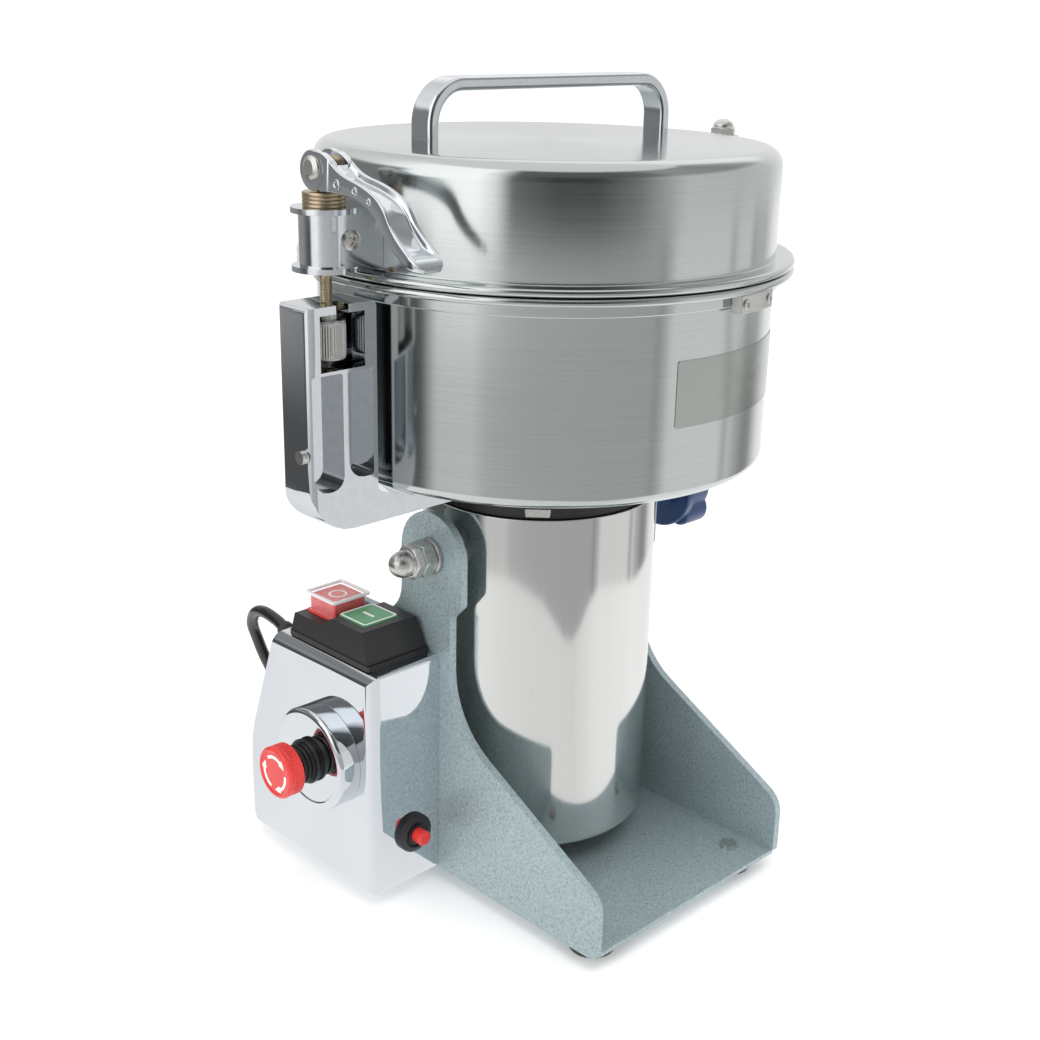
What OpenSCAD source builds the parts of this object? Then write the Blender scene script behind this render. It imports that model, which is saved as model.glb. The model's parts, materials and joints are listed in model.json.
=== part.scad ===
// Swing type electric spice grinder: a tipping motor and bowl between the walls of a sheet base.
// Origin on the ground below the motor's axis. X runs along the tilt axis, -Y is the pouring side, +Z is up.

/* [Fits] */
// Radial clearance of a shaft or stud that turns or slides in its bore
run_fit = 0.05; // [0.02:0.01:0.09]
// Gap between fixed pieces that nest in one another
seat_gap = 0.1; // [0.05:0.05:0.2]
// Gap between pieces that move past one another
part_gap = 0.3; // [0.3:0.05:0.4]

/* [Base] */
// Height of the rubber feet
foot_h = 9.5; // [7:0.5:14]
// Radius of a rubber foot
foot_r = 14.5; // [11:0.5:16]
// Thickness of the base floor
floor_sheet = 2.5; // [2:0.5:4]
// Thickness of the two base walls
wall_sheet = 4.5; // [3.5:0.5:6]
// Gap between the motor and each wall
side_gap = 8.1; // [7:0.1:11]
// Front edge ahead of the motor's axis
base_front = 125.4; // [118:0.2:140]
// Rear edge behind the motor's axis
base_back = 110.5; // [104:0.5:120]
// Height at which the sloped edge of a wall would meet its front edge
slope_low = 44.2; // [36:0.2:52]
// Slope of the wall's edge, in degrees
slope_angle = 28; // [24:1:31]
// Radius of the hollow between the sloped edge and the upright
slope_fillet = 50; // [30:1:55]
// Front edge of the upright ahead of the motor's axis
upright_front = 12.6; // [10:0.2:16]
// Height of the wall behind the upright
wall_rear_h = 153; // [146:0.5:160]
// Tilt axis below the motor's top edge
pivot_down = 25; // [22:0.5:30]
// Tilt axis behind the motor's axis
pivot_back = 3; // [0:0.5:5]
// Radius of the ear round each pivot
ear_r = 24; // [21:0.5:26]

/* [Control box] */
// Width of the box, out from the wall
box_w = 47.3; // [45:0.1:52]
// Front of the box ahead of the motor's axis
box_front = 4.3; // [2:0.1:8]
// Rear of the box behind the motor's axis
box_back = 112; // [106:0.5:120]
// Top of the box above the ground
box_top = 141; // [138:0.5:144]
// Thickness of the box's sheet
box_sheet = 1.5; // [1:0.1:2]
// Outside radius of the bend along the box's outer top edge
box_bend = 8; // [5:0.5:10]
// Outside radius of the box's upright bends
box_upright = 7; // [4:0.5:9]

/* [Start and stop switch] */
// Front edge of the switch's flange behind the motor's axis
switch_front = 3; // [0:0.5:5]
// Length of the switch's flange
switch_len = 69.5; // [69:0.5:72]
// Width of the switch's flange
switch_w = 41.9; // [41:0.1:43]
// Thickness of the switch's flange
switch_flange = 3; // [2:0.5:4]
// Height of the switch's front deck above the box
switch_deck = 19; // [17:0.5:22]
// Step down from the front deck to the rear deck
switch_step = 5.5; // [4:0.5:7]
// Length of the start button
start_len = 23; // [20:0.5:24]
// Width of the start button
start_w = 24; // [20:0.5:26]
// Length of the stop button's cap
stop_len = 26; // [24:0.5:27]
// Width of the stop button's cap
stop_w = 25.5; // [22:0.5:27]
// Height of the stop button's cap above the rear deck
stop_rise = 11.5; // [9:0.5:13]
// Travel of both buttons
button_travel = 2.5; // [2:0.25:3]

/* [Emergency stop] */
// Distance of its axis behind the motor's axis
estop_back = 34.5; // [32:0.5:42]
// Height of its axis
estop_h = 84; // [80:0.5:88]
// Radius of the chrome collar
collar_r = 29; // [26:0.5:30]
// Depth of the chrome collar
collar_d = 13.1; // [10:0.1:15]
// Radius of the black neck
neck_r = 11; // [10:0.5:11.5]
// Length of the neck ahead of the collar
neck_len = 14.5; // [13:0.5:17]
// Radius of the mushroom head
head_r = 14.5; // [14:0.5:17]
// Depth of the mushroom head
head_d = 10; // [9:0.5:12]
// Travel of the head
estop_travel = 4; // [3:0.5:4]

/* [Overload reset] */
// Distance of its axis out from the wall
reset_out = 19.3; // [17:0.5:24]
// Height of its axis
reset_h = 40.3; // [34:0.5:46]
// Radius of the bezel
bezel_r = 11; // [9:0.5:12]
// Radius of the red button
reset_r = 4.2; // [3.5:0.1:5]
// Travel of the red button
reset_travel = 3; // [2:0.5:4]

/* [Motor] */
// Outside radius of the motor housing
motor_r = 65; // [62:0.5:67]
// Sheet of the motor housing
motor_sheet = 2.5; // [2:0.25:3]
// Underside of the motor above the ground
motor_low = 26; // [24:0.5:32]
// Top edge of the motor housing above the ground
motor_top = 221; // [216:0.5:226]
// Height of the adapter between motor and bowl
flange_h = 24; // [23:0.5:28]
// Radius of the adapter's collar under the bowl
collar_flange_r = 48; // [44:0.5:50]
// Radius of the pivot studs
stud_r = 6; // [5:0.5:7]
// Radius of the trunnion bosses
boss_r = 14; // [12:0.5:16]
// Depth of the field core, from the motor's housing in to the air gap
field_depth = 33.8; // [31:0.2:35]
// Air gap between the rotor and the field core
air_gap = 0.6; // [0.4:0.1:1]
// Number of slots in the rotor
armature_slots = 12; // [8:1:16]
// Radius of the shaft in its bearings
journal_r = 7.5; // [7:0.5:9]
// Radius of the shaft inside the bowl
shaft_r = 6; // [5:0.5:6.5]
// Outside radius of a bearing
bearing_r = 17.5; // [16:0.5:20]
// Width of a bearing
bearing_w = 11; // [9:0.5:12]
// Radius of the cooling fan
fan_r = 50; // [44:1:56]
// Number of fan blades
fan_blades = 9; // [5:1:13]

/* [Bowl] */
// Outside radius of the bowl
bowl_r = 120; // [114:0.5:122]
// Outside height of the bowl up to its bead
bowl_h = 103.3; // [99:0.1:108]
// Sheet of the bowl and the lid
bowl_sheet = 2; // [1.5:0.25:2.5]
// How far the beads of bowl and lid stand out
bead_out = 10; // [8:0.5:11]
// Height of a bead
bead_h = 4; // [3:0.25:5]
// Height of the band under the bowl's bead
band_h = 6.3; // [5:0.1:8]
// Width of the small plate under the bead
rim_block_w = 30; // [24:1:34]

/* [Blades] */
// Length of a blade from tip to tip
blade_len = 204; // [180:1:212]
// Width of a blade at its middle
blade_w = 28; // [24:0.5:34]
// Thickness of a blade
blade_t = 2.5; // [2:0.25:3]
// Rise of a blade's bent tip
blade_rise = 9; // [6:0.5:12]
// Height of the lower blade over the bowl's floor
lower_blade_up = 8; // [7:0.5:10]
// Height of the upper blade over the lower one
blade_step = 17; // [15:0.5:20]

/* [Lid] */
// Outside height of the lid
lid_h = 58.3; // [55:0.1:62]
// Radius of the lid's shoulder
lid_shoulder = 9; // [6:0.5:12]
// Gap at the seam between bowl and lid
seam = 0.4; // [0.3:0.05:0.5]
// Depth of the gasket
gasket_h = 4; // [3:0.5:6]

/* [Handle] */
// Length of the handle over both legs
handle_len = 174.5; // [160:0.5:190]
// Height of the handle over the lid
handle_h = 32; // [28:0.5:38]
// Width of the handle's strap
handle_w = 15; // [13:0.5:20]
// Thickness of the handle's strap
handle_t = 6.5; // [4:0.25:7]
// Outside radius of the handle's corners
handle_bend = 22; // [16:0.5:24]

/* [Arms] */
// Gap between the bowl and the two cast arms
arm_gap = 4.5; // [4.2:0.1:6]
// Depth of an arm, out from the bowl
arm_d = 40; // [39:0.5:44]
// Width of an arm along Y
arm_w = 24; // [23:0.5:28]
// Height of an arm's top above the bowl's floor
arm_up = 95; // [92:0.5:99]
// Thickness of the arm's foot under the bowl
arm_foot_t = 9; // [8:0.5:9.5]
// Radius of the arm's outer lower corner
arm_corner = 25; // [18:0.5:28]
// Wall behind the clamp slot
arm_wall = 2.5; // [2:0.25:3.5]
// Depth of the two pockets below the slot
pocket_d = 8.5; // [6:0.5:12]
// Width of the clamp slot
slot_w = 26; // [24:0.5:27]
// Height of the clamp slot
slot_h = 26.5; // [25:0.5:30]

/* [Clamp] */
// Distance of the pull rod and of the hinge post out from the bowl
post_out = 24.5; // [24:0.25:25.5]
// Radius of the pull rod
rod_r = 3; // [2.5:0.25:3.5]
// Radius of the barrel nut
nut_r = 8.9; // [7.5:0.1:9.2]
// Length of the barrel nut
nut_len = 19; // [16:0.5:20]
// Outside radius of the brackets on the lid
lug_r = 12; // [11:0.25:13]
// Height of the brackets on the lid
lug_h = 29; // [26:0.5:31]
// Radius of the lever's cam
cam_r = 9.2; // [8.5:0.1:10]
// Offset of the cam's centre from its pin
cam_off = 1.2; // [1:0.1:1.4]
// Radius of the lever's pin
pin_r = 2.5; // [2:0.25:3]
// Width of the lever at its cam
lever_w = 12; // [11:0.5:13]
// Width of the lever at its tip
lever_tip_w = 18; // [15:0.5:20]
// Length of the lever from its pin to its tip
lever_reach = 76; // [70:0.5:80]
// Width of the two rails along the lever's trough
lever_rail = 2.2; // [1.8:0.1:3]
// Radius of the hinge post
post_r = 5; // [4:0.25:6]
// Number of turns of the hinge spring
spring_turns = 5; // [3:1:7]

/* [Tilt knob] */
// Radius of the knob's hub
knob_hub_r = 12; // [10.5:0.5:14]
// Radius to the knob's lobes
knob_r = 28; // [24:0.5:32]
// Number of lobes
knob_lobes = 5; // [3:1:7]
// Thickness of the knob's star
knob_star_t = 20; // [16:0.5:24]

/* [Mains lead] */
// Diameter of the lead
cord_d = 7; // [6.5:0.1:7.2]
// Inner radius of the coil's winding, at the middle of the lead
coil_r = 30; // [28:0.5:32]
// Number of turns in the coil
coil_turns = 5; // [4:1:6]

/* [Hidden] */
$fn = 72;
eps = 0.01;

// Base, derived
pivot_h = motor_top - pivot_down;
wall_in = motor_r + side_gap;
wall_out = wall_in + wall_sheet;
floor_top = foot_h + floor_sheet;
upright_meet = slope_low + (base_front - upright_front) * tan(slope_angle);
shoulder_z = pivot_h - 23;
shoulder_in = ear_r - pivot_back - upright_front;
foot_x = wall_in - foot_r - 0.6;
foot_front_y = -(base_front - foot_r - 6);
foot_back_y = base_back - foot_r - 5;
feet = [for (x = [-foot_x, foot_x], y = [foot_front_y, foot_back_y]) [x, y]];
foot_screw_r = 2.5;
foot_head_r = 4.8;
foot_head_h = 2.6;
foot_shank = 7;

// Control box, derived
box_out = wall_out + box_w;
box_low = foot_h + 0.5;
box_knee = 35;
box_hip = 75;
box_lean = 8;
box_rear_top = box_back - 31.5;
box_profile = [
    [-box_front, box_low, 3], [box_back, box_low, 16], [box_back, box_knee, 30],
    [box_back - box_lean, box_hip, 60], [box_rear_top, box_top, 4], [-box_front, box_top, 2.5]
];
box_section = [
    [-box_out, box_low, 2.5], [-wall_out, box_low, 0], [-wall_out, box_top, 0], [-box_out, box_top, box_bend]
];
box_plan = [
    [-box_out, -box_front, box_upright], [-wall_out, -box_front, 0],
    [-wall_out, box_back, 0], [-box_out, box_back, box_upright]
];
box_tab = 14;
box_screw_r = 2;
box_screws = [
    [-box_front + 12, box_low + 12], [box_back - 26, box_low + 14],
    [-box_front + 12, box_top - 12], [box_rear_top - 14, box_top - 12]
];

// Switch, derived
switch_x = -wall_out - 1 - switch_w / 2;
switch_z = box_top + switch_flange;
switch_back = switch_front + switch_len;
deck_front_z = box_top + switch_deck;
deck_rear_z = deck_front_z - switch_step;
deck_step_y = switch_front + switch_len * 0.547;
switch_draft = switch_w * 0.062;
start_y = switch_front + switch_len * 0.2;
stop_y = deck_step_y + 1.2;
well_floor = box_top + 6.5;
button_bottom = well_floor + button_travel + part_gap;
start_top = deck_front_z + 0.5;
stop_top = deck_rear_z + stop_rise;
cap_wall = 1.6;
cap_low = button_bottom + 5;
tub_inset = 5;
tub_low = box_top - 23;
block_w = switch_w * 0.62;
block_len = switch_len * 0.31;
block_h = switch_len * 0.2;

// Emergency stop, derived
estop_x = -box_out;
neck_front_x = estop_x - collar_d - neck_len;
head_front_x = neck_front_x - 4.5 - 3;
head_cap_t = 3;
stem_r = 6;
stem_front_x = head_front_x + 1.5;
neck_back_x = estop_x + 13;
neck_ring_r = neck_r + 1.5;
neck_ring_t = 2.7;
neck_nut_r = neck_r + 3;
neck_nut_t = 4;
collar_sheet = 2;
head_bore = head_r - 2.5;
estop_block_w = collar_r;
estop_block_len = collar_r * 0.83;
stem_back_x = neck_back_x + 4;
stem_pocket_x = stem_back_x + estop_travel + 4;

// Overload reset, derived
reset_x = -wall_out - reset_out;
bezel_d = 3.2;
breaker_body_r = bezel_r - 2;
breaker_len = 26;
reset_front_y = -box_front - bezel_d - 7.5;
reset_len = 17;
reset_bore_end = reset_front_y + reset_len + reset_travel + part_gap;

// Motor, derived
housing_round = 6;
bottom_lip = motor_r - 9;
cover_z = motor_low + motor_sheet;
cover_t = 5;
lower_bearing_z = cover_z + cover_t;
bearing_boss_r = bearing_r + 5;
flange_z = motor_top;
flange_step_z = motor_top + 9;
bowl_z = motor_top + flange_h;
flange_r = motor_r - 2;
upper_bearing_z = flange_z + 5;
motor_len = motor_top - motor_low;
core_low = motor_low + motor_len * 0.34;
core_h = motor_len * 0.29;
core_r = motor_r - motor_sheet - seat_gap;
yoke_t = core_r * 0.2;
shoe_t = core_r * 0.12;
shoe_r = core_r - field_depth;
armature_r = shoe_r - air_gap;
pole_w = core_r * 0.42;
pole_spread = 52;
coil_side = core_r * 0.1;
coil_end = core_r * 0.13;
coil_in_y = shoe_r + shoe_t + 0.4;
coil_out_y = sqrt(pow(core_r - yoke_t, 2) - pow(pole_w / 2 + coil_side, 2)) - 0.6;
core_shaft_r = journal_r + 2;
armature_low = core_low - 1;
armature_h = core_h + 2;
winding_end = 8;
commutator_low = motor_low + motor_len * 0.185;
commutator_h = motor_len * 0.09;
commutator_r = journal_r * 2;
commutator_bars = 18;
brush_z = commutator_low + commutator_h / 2;
brush_w = 14;
brush_h = 11;
fan_z = core_low + core_h + motor_len * 0.08;
fan_h = fan_r * 0.28;
fan_disc = fan_r * 0.04;

// Pivots, derived
boss_end = wall_in - part_gap;
washer_r = 10;
washer_t = 2.1;
pivot_stack = wall_out + part_gap;
pivot_nut_x = pivot_stack + washer_t;
pivot_nut_af = 17;
pivot_nut_t = 8;
acorn_t = 5.5;
acorn_dome_r = 7.2;
acorn_hold = 8;
acorn_len = 16.5;
acorn_x = pivot_nut_x + pivot_nut_t + seat_gap;
stud_left_end = acorn_x + acorn_hold;
knob_x = pivot_nut_x + part_gap;
knob_hub_len = 26;
knob_skirt_t = 6;
stud_right_end = knob_x + 20;

// Bowl, derived
bowl_top = bowl_z + bowl_h;
band_r = bowl_r + 2.5;
bead_r = bowl_r + bead_out;
bowl_floor_t = bowl_sheet + 2;
bowl_floor = bowl_z + bowl_floor_t;
seal_r = 14;
seal_h = bowl_floor_t + 2;
bead_edge = 0.8;
rim_block_angle = -82;
rim_block_h = 9;
rim_block_t = 6;

// Blades, derived
lower_z = bowl_floor + lower_blade_up;
upper_z = lower_z + blade_step;
hub_r = 13;
clip_t = 2.5;
blade_nut_z = upper_z + blade_t + clip_t;
blade_nut_af = 19;
blade_nut_t = 10;
blade_nut_hold = 6.2;
blade_bend_at = 0.66;

// Lid, derived
lid_z = bowl_top + seam;
lid_top = lid_z + lid_h;
lug_z = lid_z + 5.8;
lug_top = lug_z + lug_h;
lid_r = bowl_r + 0.3;
lid_in = lid_r - bowl_sheet;
gasket_in = lid_in - 6;

// Arms, derived
arm_in = bowl_r + arm_gap;
arm_out = arm_in + arm_d;
arm_top = bowl_z + arm_up;
arm_foot_z = flange_step_z;
arm_foot_top = arm_foot_z + arm_foot_t;
arm_plate_t = 4;
post_x = bowl_r + post_out;
hollow_y = arm_w / 2 - arm_wall;
slot_top = arm_top - arm_plate_t;
slot_low = slot_top - slot_h;
pocket_top = slot_low - 1.5;
pocket_low = bowl_z + 6;
column_top = lug_z - part_gap;
side_screw_z = bowl_z + 25;
side_screw_y = -arm_w / 2 + 4.5;
side_screw_r = 3.2;
side_screw_out = 3.5;
side_screw_hold = 1.6;
pocket_y = -arm_w / 2 + pocket_d;
foot_screw_x = collar_flange_r + 7;
foot_screw_y = 6.5;
arm_screw_r = 2;
arm_screw_head = 4.2;
arm_screw_depth = 6;

// Clamp, derived
lug_plate_r = lug_r + 3.5;
lug_plate_t = 2.5;
washer_stack = 6.8;
clamp_washer_r = 10;
pin_z = lug_top + washer_stack + part_gap + cam_r + cam_off;
nut_top = slot_top - 4;
nut_collar_r = 5;
nut_low = nut_top - nut_len;
rod_low = slot_low + cam_off + part_gap;
eye_w = lever_w - 6.2;
eye_r = 5;
lever_slot = eye_w + 2 * part_gap;
pin_head_r = 6;
pin_head_t = 2.2;
lug_screw_r = 4.7;
lug_screw_x = post_x - 5.7;
lug_screw_z = lug_z + lug_h / 2;
lug_screw_depth = 5;

// Hinge top, derived
spring_wire = 1.1;
spring_r = post_r + spring_wire + 0.8;
spring_low = lug_top + part_gap + spring_wire;
spring_h = 15;
hinge_washer_z = spring_low + spring_h + spring_wire;
hinge_washer_t = 2;
hinge_nut_af = 13;
hinge_nut_z = hinge_washer_z + hinge_washer_t;

// Lead, derived
cord_r = cord_d / 2;
cord_sides = 10;
gland_len = 22;
gland_flange_r = 9.5;
gland_neck_r = 6.5;
gland_angle = atan2(box_back - box_lean - box_rear_top, box_top - box_hip);
gland_x = -98;
gland_z = 118.8;
gland_y = box_rear_top + (box_top - gland_z) * tan(gland_angle);
cord_start = [gland_x, gland_y + gland_len * cos(gland_angle), gland_z + gland_len * sin(gland_angle)];

// Route of the lead from the strain relief over its bend and down to the ground, chosen by hand
cord_bend = [
    [-98, 129, 130], [-96, 141, 125], [-93, 149, 115], [-88, 152, 103], [-83, 153, 90], [-77, 154, 77],
    [-71, 154, 64], [-64, 154, 51], [-56, 154, 38], [-46, 153, 26], [-33, 152, 15]
];
coil_lift = 1;
coil_pitch = cord_d + 0.7;
coil_rise = cord_d + 0.6;
coil_x = 20;
coil_y = 152 + coil_r + coil_pitch * coil_turns / 2;
coil_low = cord_r + coil_lift;
coil_half = coil_turns / 2;
coil_start_r = coil_r + coil_pitch * coil_half;
coil_in = 270;
coil_lead = [coil_x, coil_y] + coil_start_r * [cos(coil_in), sin(coil_in)];
coil_dir = [-sin(coil_in), cos(coil_in)];
cord_end = [coil_lead.x, coil_lead.y, coil_low] - cord_d * [coil_dir.x, coil_dir.y, 0];
gland_dir = [0, cos(gland_angle), sin(gland_angle)];
cord_path = concat(
    [cord_start, cord_start + cord_d * gland_dir], cord_bend,
    [cord_end - 2 * cord_d * [coil_dir.x, coil_dir.y, 0] + [0, 0, 0.5], cord_end]
);
coil_steps = 24;
coil_count = coil_steps * coil_turns;
coil_points = [for (i = [0 : coil_count]) coil_point(i / coil_steps - coil_half)];
coil_out_angle = coil_in + 360 * coil_turns;
plug_dir = [-sin(coil_out_angle), cos(coil_out_angle), 0];
coil_high = coil_low + coil_rise;
coil_path = concat(
    [cord_end], coil_points,
    [coil_points[coil_count] + cord_d * plug_dir, coil_points[coil_count] + 3 * cord_d * plug_dir]
);
plug_start = coil_path[len(coil_path) - 1];
coil_gap = min([
    for (i = [1 : coil_count], j = [i + coil_steps / 2 : coil_count + 1])
    if (j <= coil_count) norm(coil_points[i] - coil_points[j]) - cord_d
]);
tie_angle = coil_in + 120;
tie_t = 0.8;
tie_w = 9;
tie_in = coil_r - cord_r - 0.3;
tie_out = coil_start_r + cord_r + 0.3;
plug_half = coil_high;
plug_r = 18.5;
plug_relief = 22;
plug_grip = 20;
plug_face = 17;
plug_pin_r = 2.4;
plug_pin_len = 19;
plug_pin_gap = 19;

echo(coil_gap_to_itself = coil_gap);

// Unit vector along v
function unit(v) = v / norm(v);

// Corner i of an outline of [x, y, radius] points, as the points of its arc
function corner_arc(p, i, steps) =
    let (
        n = len(p), a = p[(i + n - 1) % n], b = p[i], c = p[(i + 1) % n],
        u = unit([a.x - b.x, a.y - b.y]), v = unit([c.x - b.x, c.y - b.y]),
        half = acos(u * v) / 2, centre = [b.x, b.y] + unit(u + v) * b.z / sin(half),
        from = [b.x, b.y] + u * b.z / tan(half) - centre, to = [b.x, b.y] + v * b.z / tan(half) - centre,
        start = atan2(from.y, from.x), side = from.x * to.y - from.y * to.x > 0 ? 1 : -1,
        sweep = side * (180 - 2 * half)
    )
    [for (k = [0 : steps]) let (w = start + sweep * k / steps) centre + b.z * [cos(w), sin(w)]];

// Outline of [x, y, radius] points with its corners rounded
function outline(p, steps = 6) =
    [for (i = [0 : len(p) - 1]) each (p[i].z > 0 ? corner_arc(p, i, steps) : [[p[i].x, p[i].y]])];

// The same outline, anticlockwise, moved inwards by t
function inset(p, t) = [
    for (i = [0 : len(p) - 1])
    let (
        n = len(p), a = p[(i + n - 1) % n], b = p[i], c = p[(i + 1) % n],
        u = unit([a.x - b.x, a.y - b.y]), v = unit([c.x - b.x, c.y - b.y]),
        turn = v.x * u.y - v.y * u.x > 0 ? 1 : -1, half = acos(u * v) / 2,
        q = [b.x, b.y] + turn * unit(u + v) * t / sin(half)
    )
    [q.x, q.y, b.z > 0 ? max(b.z - turn * t, 0.2) : 0]
];

// Point of the coil at t turns from the middle of its winding
function coil_point(t) =
    let (
        w = coil_in + 360 * (t + coil_half), r = coil_r + coil_pitch * abs(t),
        up = min(max(0.5 + 2 * t, 0), 1)
    )
    [coil_x + r * cos(w), coil_y + r * sin(w), coil_low + coil_rise * up];

// Ring of a tube at point i of its path, square to the path
function tube_ring(path, i, radius, sides, across) =
    let (
        n = len(path), ahead = path[min(i + 1, n - 1)], behind = path[max(i - 1, 0)],
        dir = unit(ahead - behind), side = unit(cross(dir, across)), up = cross(side, dir)
    )
    [for (k = [0 : sides - 1]) path[i] + radius * (cos(360 * k / sides) * side + sin(360 * k / sides) * up)];

// Solid tube along a path of points
module tube(path, radius, sides, across) {
    n = len(path);
    points = [for (i = [0 : n - 1]) each tube_ring(path, i, radius, sides, across)];
    skin = [
        for (i = [0 : n - 2], k = [0 : sides - 1])
        let (a = i * sides + k, b = i * sides + (k + 1) % sides)
        each [[a, a + sides, b], [b, a + sides, b + sides]]
    ];
    first = [for (k = [1 : sides - 2]) [0, k, k + 1]];
    last = [for (k = [1 : sides - 2]) [(n - 1) * sides, (n - 1) * sides + k + 1, (n - 1) * sides + k]];
    polyhedron(points = points, faces = concat(skin, first, last));
}

// Outline drawn in Y and Z, as a slab from x0 to x1
module slab_x(x0, x1) {
    translate([x0, 0, 0]) rotate([90, 0, 90]) linear_extrude(x1 - x0) children();
}

// Outline drawn in X and Z, as a slab from y0 to y1
module slab_y(y0, y1) {
    translate([0, y1, 0]) rotate([90, 0, 0]) linear_extrude(y1 - y0) children();
}

// Outline drawn in X and Y, as a slab from z0 to z1
module slab_z(z0, z1) {
    translate([0, 0, z0]) linear_extrude(z1 - z0) children();
}

// Round bar along X from x0 to x1
module bar_x(x0, x1, y, z, r) {
    translate([x0, y, z]) rotate([0, 90, 0]) cylinder(h = x1 - x0, r = r);
}

// Round bar along Y from y0 to y1
module bar_y(x, y0, y1, z, r) {
    translate([x, y0, z]) rotate([-90, 0, 0]) cylinder(h = y1 - y0, r = r);
}

// Round bar along Z from z0 to z1
module bar_z(x, y, z0, z1, r) {
    translate([x, y, z0]) cylinder(h = z1 - z0, r = r);
}

// Hexagon across flats af
module hexagon(af) {
    circle(r = af / sqrt(3), $fn = 6);
}

// Domed nut standing on z = 0, with a blind hole
module acorn(af, hex_t, dome_r, length, hole_r, hole_d) {
    dome = outline([[0, 0, 0], [dome_r, 0, 0], [dome_r, length, dome_r - 0.2], [0, length, 0]]);
    difference() {
        union() {
            linear_extrude(hex_t) hexagon(af);
            rotate_extrude() polygon(dome);
        }
        translate([0, 0, -eps]) cylinder(h = hole_d + eps, r = hole_r);
    }
}

wall_outline = [
    [-base_front, foot_h, 4], [base_back, foot_h, 18], [base_back, box_knee, 30],
    [base_back - box_lean, box_hip, 60], [base_back - 36.5, wall_rear_h, 8],
    [pivot_back + ear_r, wall_rear_h, 20], [pivot_back + ear_r, pivot_h + ear_r, ear_r - 0.1],
    [pivot_back - ear_r, pivot_h + ear_r, ear_r - 0.1], [pivot_back - ear_r, shoulder_z, 4],
    [-upright_front, shoulder_z - shoulder_in, 4], [-upright_front, upright_meet, slope_fillet],
    [-base_front, slope_low, 15]
];

module base_frame() {
    color([0.62, 0.68, 0.7])
    difference() {
        union() {
            slab_x(-wall_out, -wall_in) polygon(outline(wall_outline, 8));
            slab_x(wall_in, wall_out) polygon(outline(wall_outline, 8));
            translate([-wall_in - 1, -base_front + 1, foot_h])
                cube([2 * wall_in + 2, base_front + base_back - 20, floor_sheet]);
        }
        bar_x(-wall_out - 1, -wall_in + 1, pivot_back, pivot_h, stud_r + run_fit);
        bar_x(wall_in - 1, wall_out + 1, pivot_back, pivot_h, stud_r + run_fit);
        for (p = feet) bar_z(p.x, p.y, foot_h - 1, floor_top + 1, foot_screw_r + seat_gap);
        for (s = box_screws) bar_x(-wall_out - 1, -wall_in + 1, s.x, s.y, box_screw_r + seat_gap);
    }
}

module rubber_feet() {
    bore = foot_screw_r + seat_gap;
    side = outline([[bore, 0, 0], [foot_r - 2, 0, 1], [foot_r, foot_h, 0], [bore, foot_h, 0]]);
    color([0.12, 0.12, 0.13])
    for (p = feet) translate([p.x, p.y, 0]) rotate_extrude() polygon(side);
}

module frame_screws() {
    color([0.75, 0.75, 0.76]) {
        for (p = feet) {
            bar_z(p.x, p.y, floor_top, floor_top + foot_head_h, foot_head_r);
            bar_z(p.x, p.y, floor_top - foot_shank, floor_top + 1, foot_screw_r);
        }
        for (s = box_screws) {
            bar_x(-wall_in, -wall_in + 2.2, s.x, s.y, 3.8);
            bar_x(-wall_out - 4, -wall_in + 1, s.x, s.y, box_screw_r);
        }
    }
}

// Outside of the box as a solid block
module box_body() {
    intersection() {
        slab_x(-box_out, -wall_out) polygon(outline(box_profile));
        slab_y(-box_front - 1, box_back + 1) polygon(outline(box_section));
        slab_z(box_low - 1, box_top + 1) polygon(outline(box_plan));
    }
}

// Space inside the box's sheet, open towards the wall
module box_cavity() {
    open_x = -wall_out + 9;
    wide = [
        [-box_out, box_low, 2.5], [open_x, box_low, 0], [open_x, box_top, 0], [-box_out, box_top, box_bend]
    ];
    deep = [
        [-box_out, -box_front, box_upright], [open_x, -box_front, 0],
        [open_x, box_back, 0], [-box_out, box_back, box_upright]
    ];
    intersection() {
        slab_x(-box_out + box_sheet, -wall_out + 1) polygon(outline(inset(box_profile, box_sheet)));
        slab_y(-box_front - 1, box_back + 1) polygon(outline(inset(wide, box_sheet)));
        slab_z(box_low - 1, box_top + 1) polygon(outline(inset(deep, box_sheet)));
    }
}

module control_box() {
    color([0.85, 0.86, 0.88])
    difference() {
        union() {
            difference() {
                box_body();
                box_cavity();
            }
            intersection() {
                box_body();
                for (s = box_screws)
                    translate([-wall_out - box_sheet, s.x - box_tab, s.y - box_tab])
                        cube([box_sheet, 2 * box_tab, 2 * box_tab]);
            }
        }
        for (s = box_screws)
            bar_x(-wall_out - box_sheet - 1, -wall_out + 1, s.x, s.y, box_screw_r + seat_gap);
        bar_x(-box_out - 1, -box_out + box_sheet + 1, estop_back, estop_h, neck_r + seat_gap);
        bar_y(reset_x, -box_front - 1, -box_front + box_sheet + 1, reset_h, breaker_body_r + seat_gap);
        switch_tub(seat_gap, box_top - box_sheet - 1, box_top + 1);
        gland_frame() translate([0, 0, -box_sheet - 1])
            cylinder(h = box_sheet + 2, r = gland_neck_r + seat_gap);
    }
}

// Block under the switch's flange, grown by g
module switch_tub(g, z0, z1) {
    translate([switch_x - switch_w / 2 + tub_inset - g, switch_front + tub_inset - g, z0])
        cube([switch_w - 2 * tub_inset + 2 * g, switch_len - 2 * tub_inset + 2 * g, z1 - z0]);
}

// Rounded bar for a button, grown by g
module button_bar(width, y, length, z0, z1, g) {
    x = switch_x;
    plan = [
        [x - width / 2 - g, y - g, 2], [x + width / 2 + g, y - g, 2],
        [x + width / 2 + g, y + length + g, 2], [x - width / 2 - g, y + length + g, 2]
    ];
    slab_z(z0, z1) polygon(outline(plan, 3));
}

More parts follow.
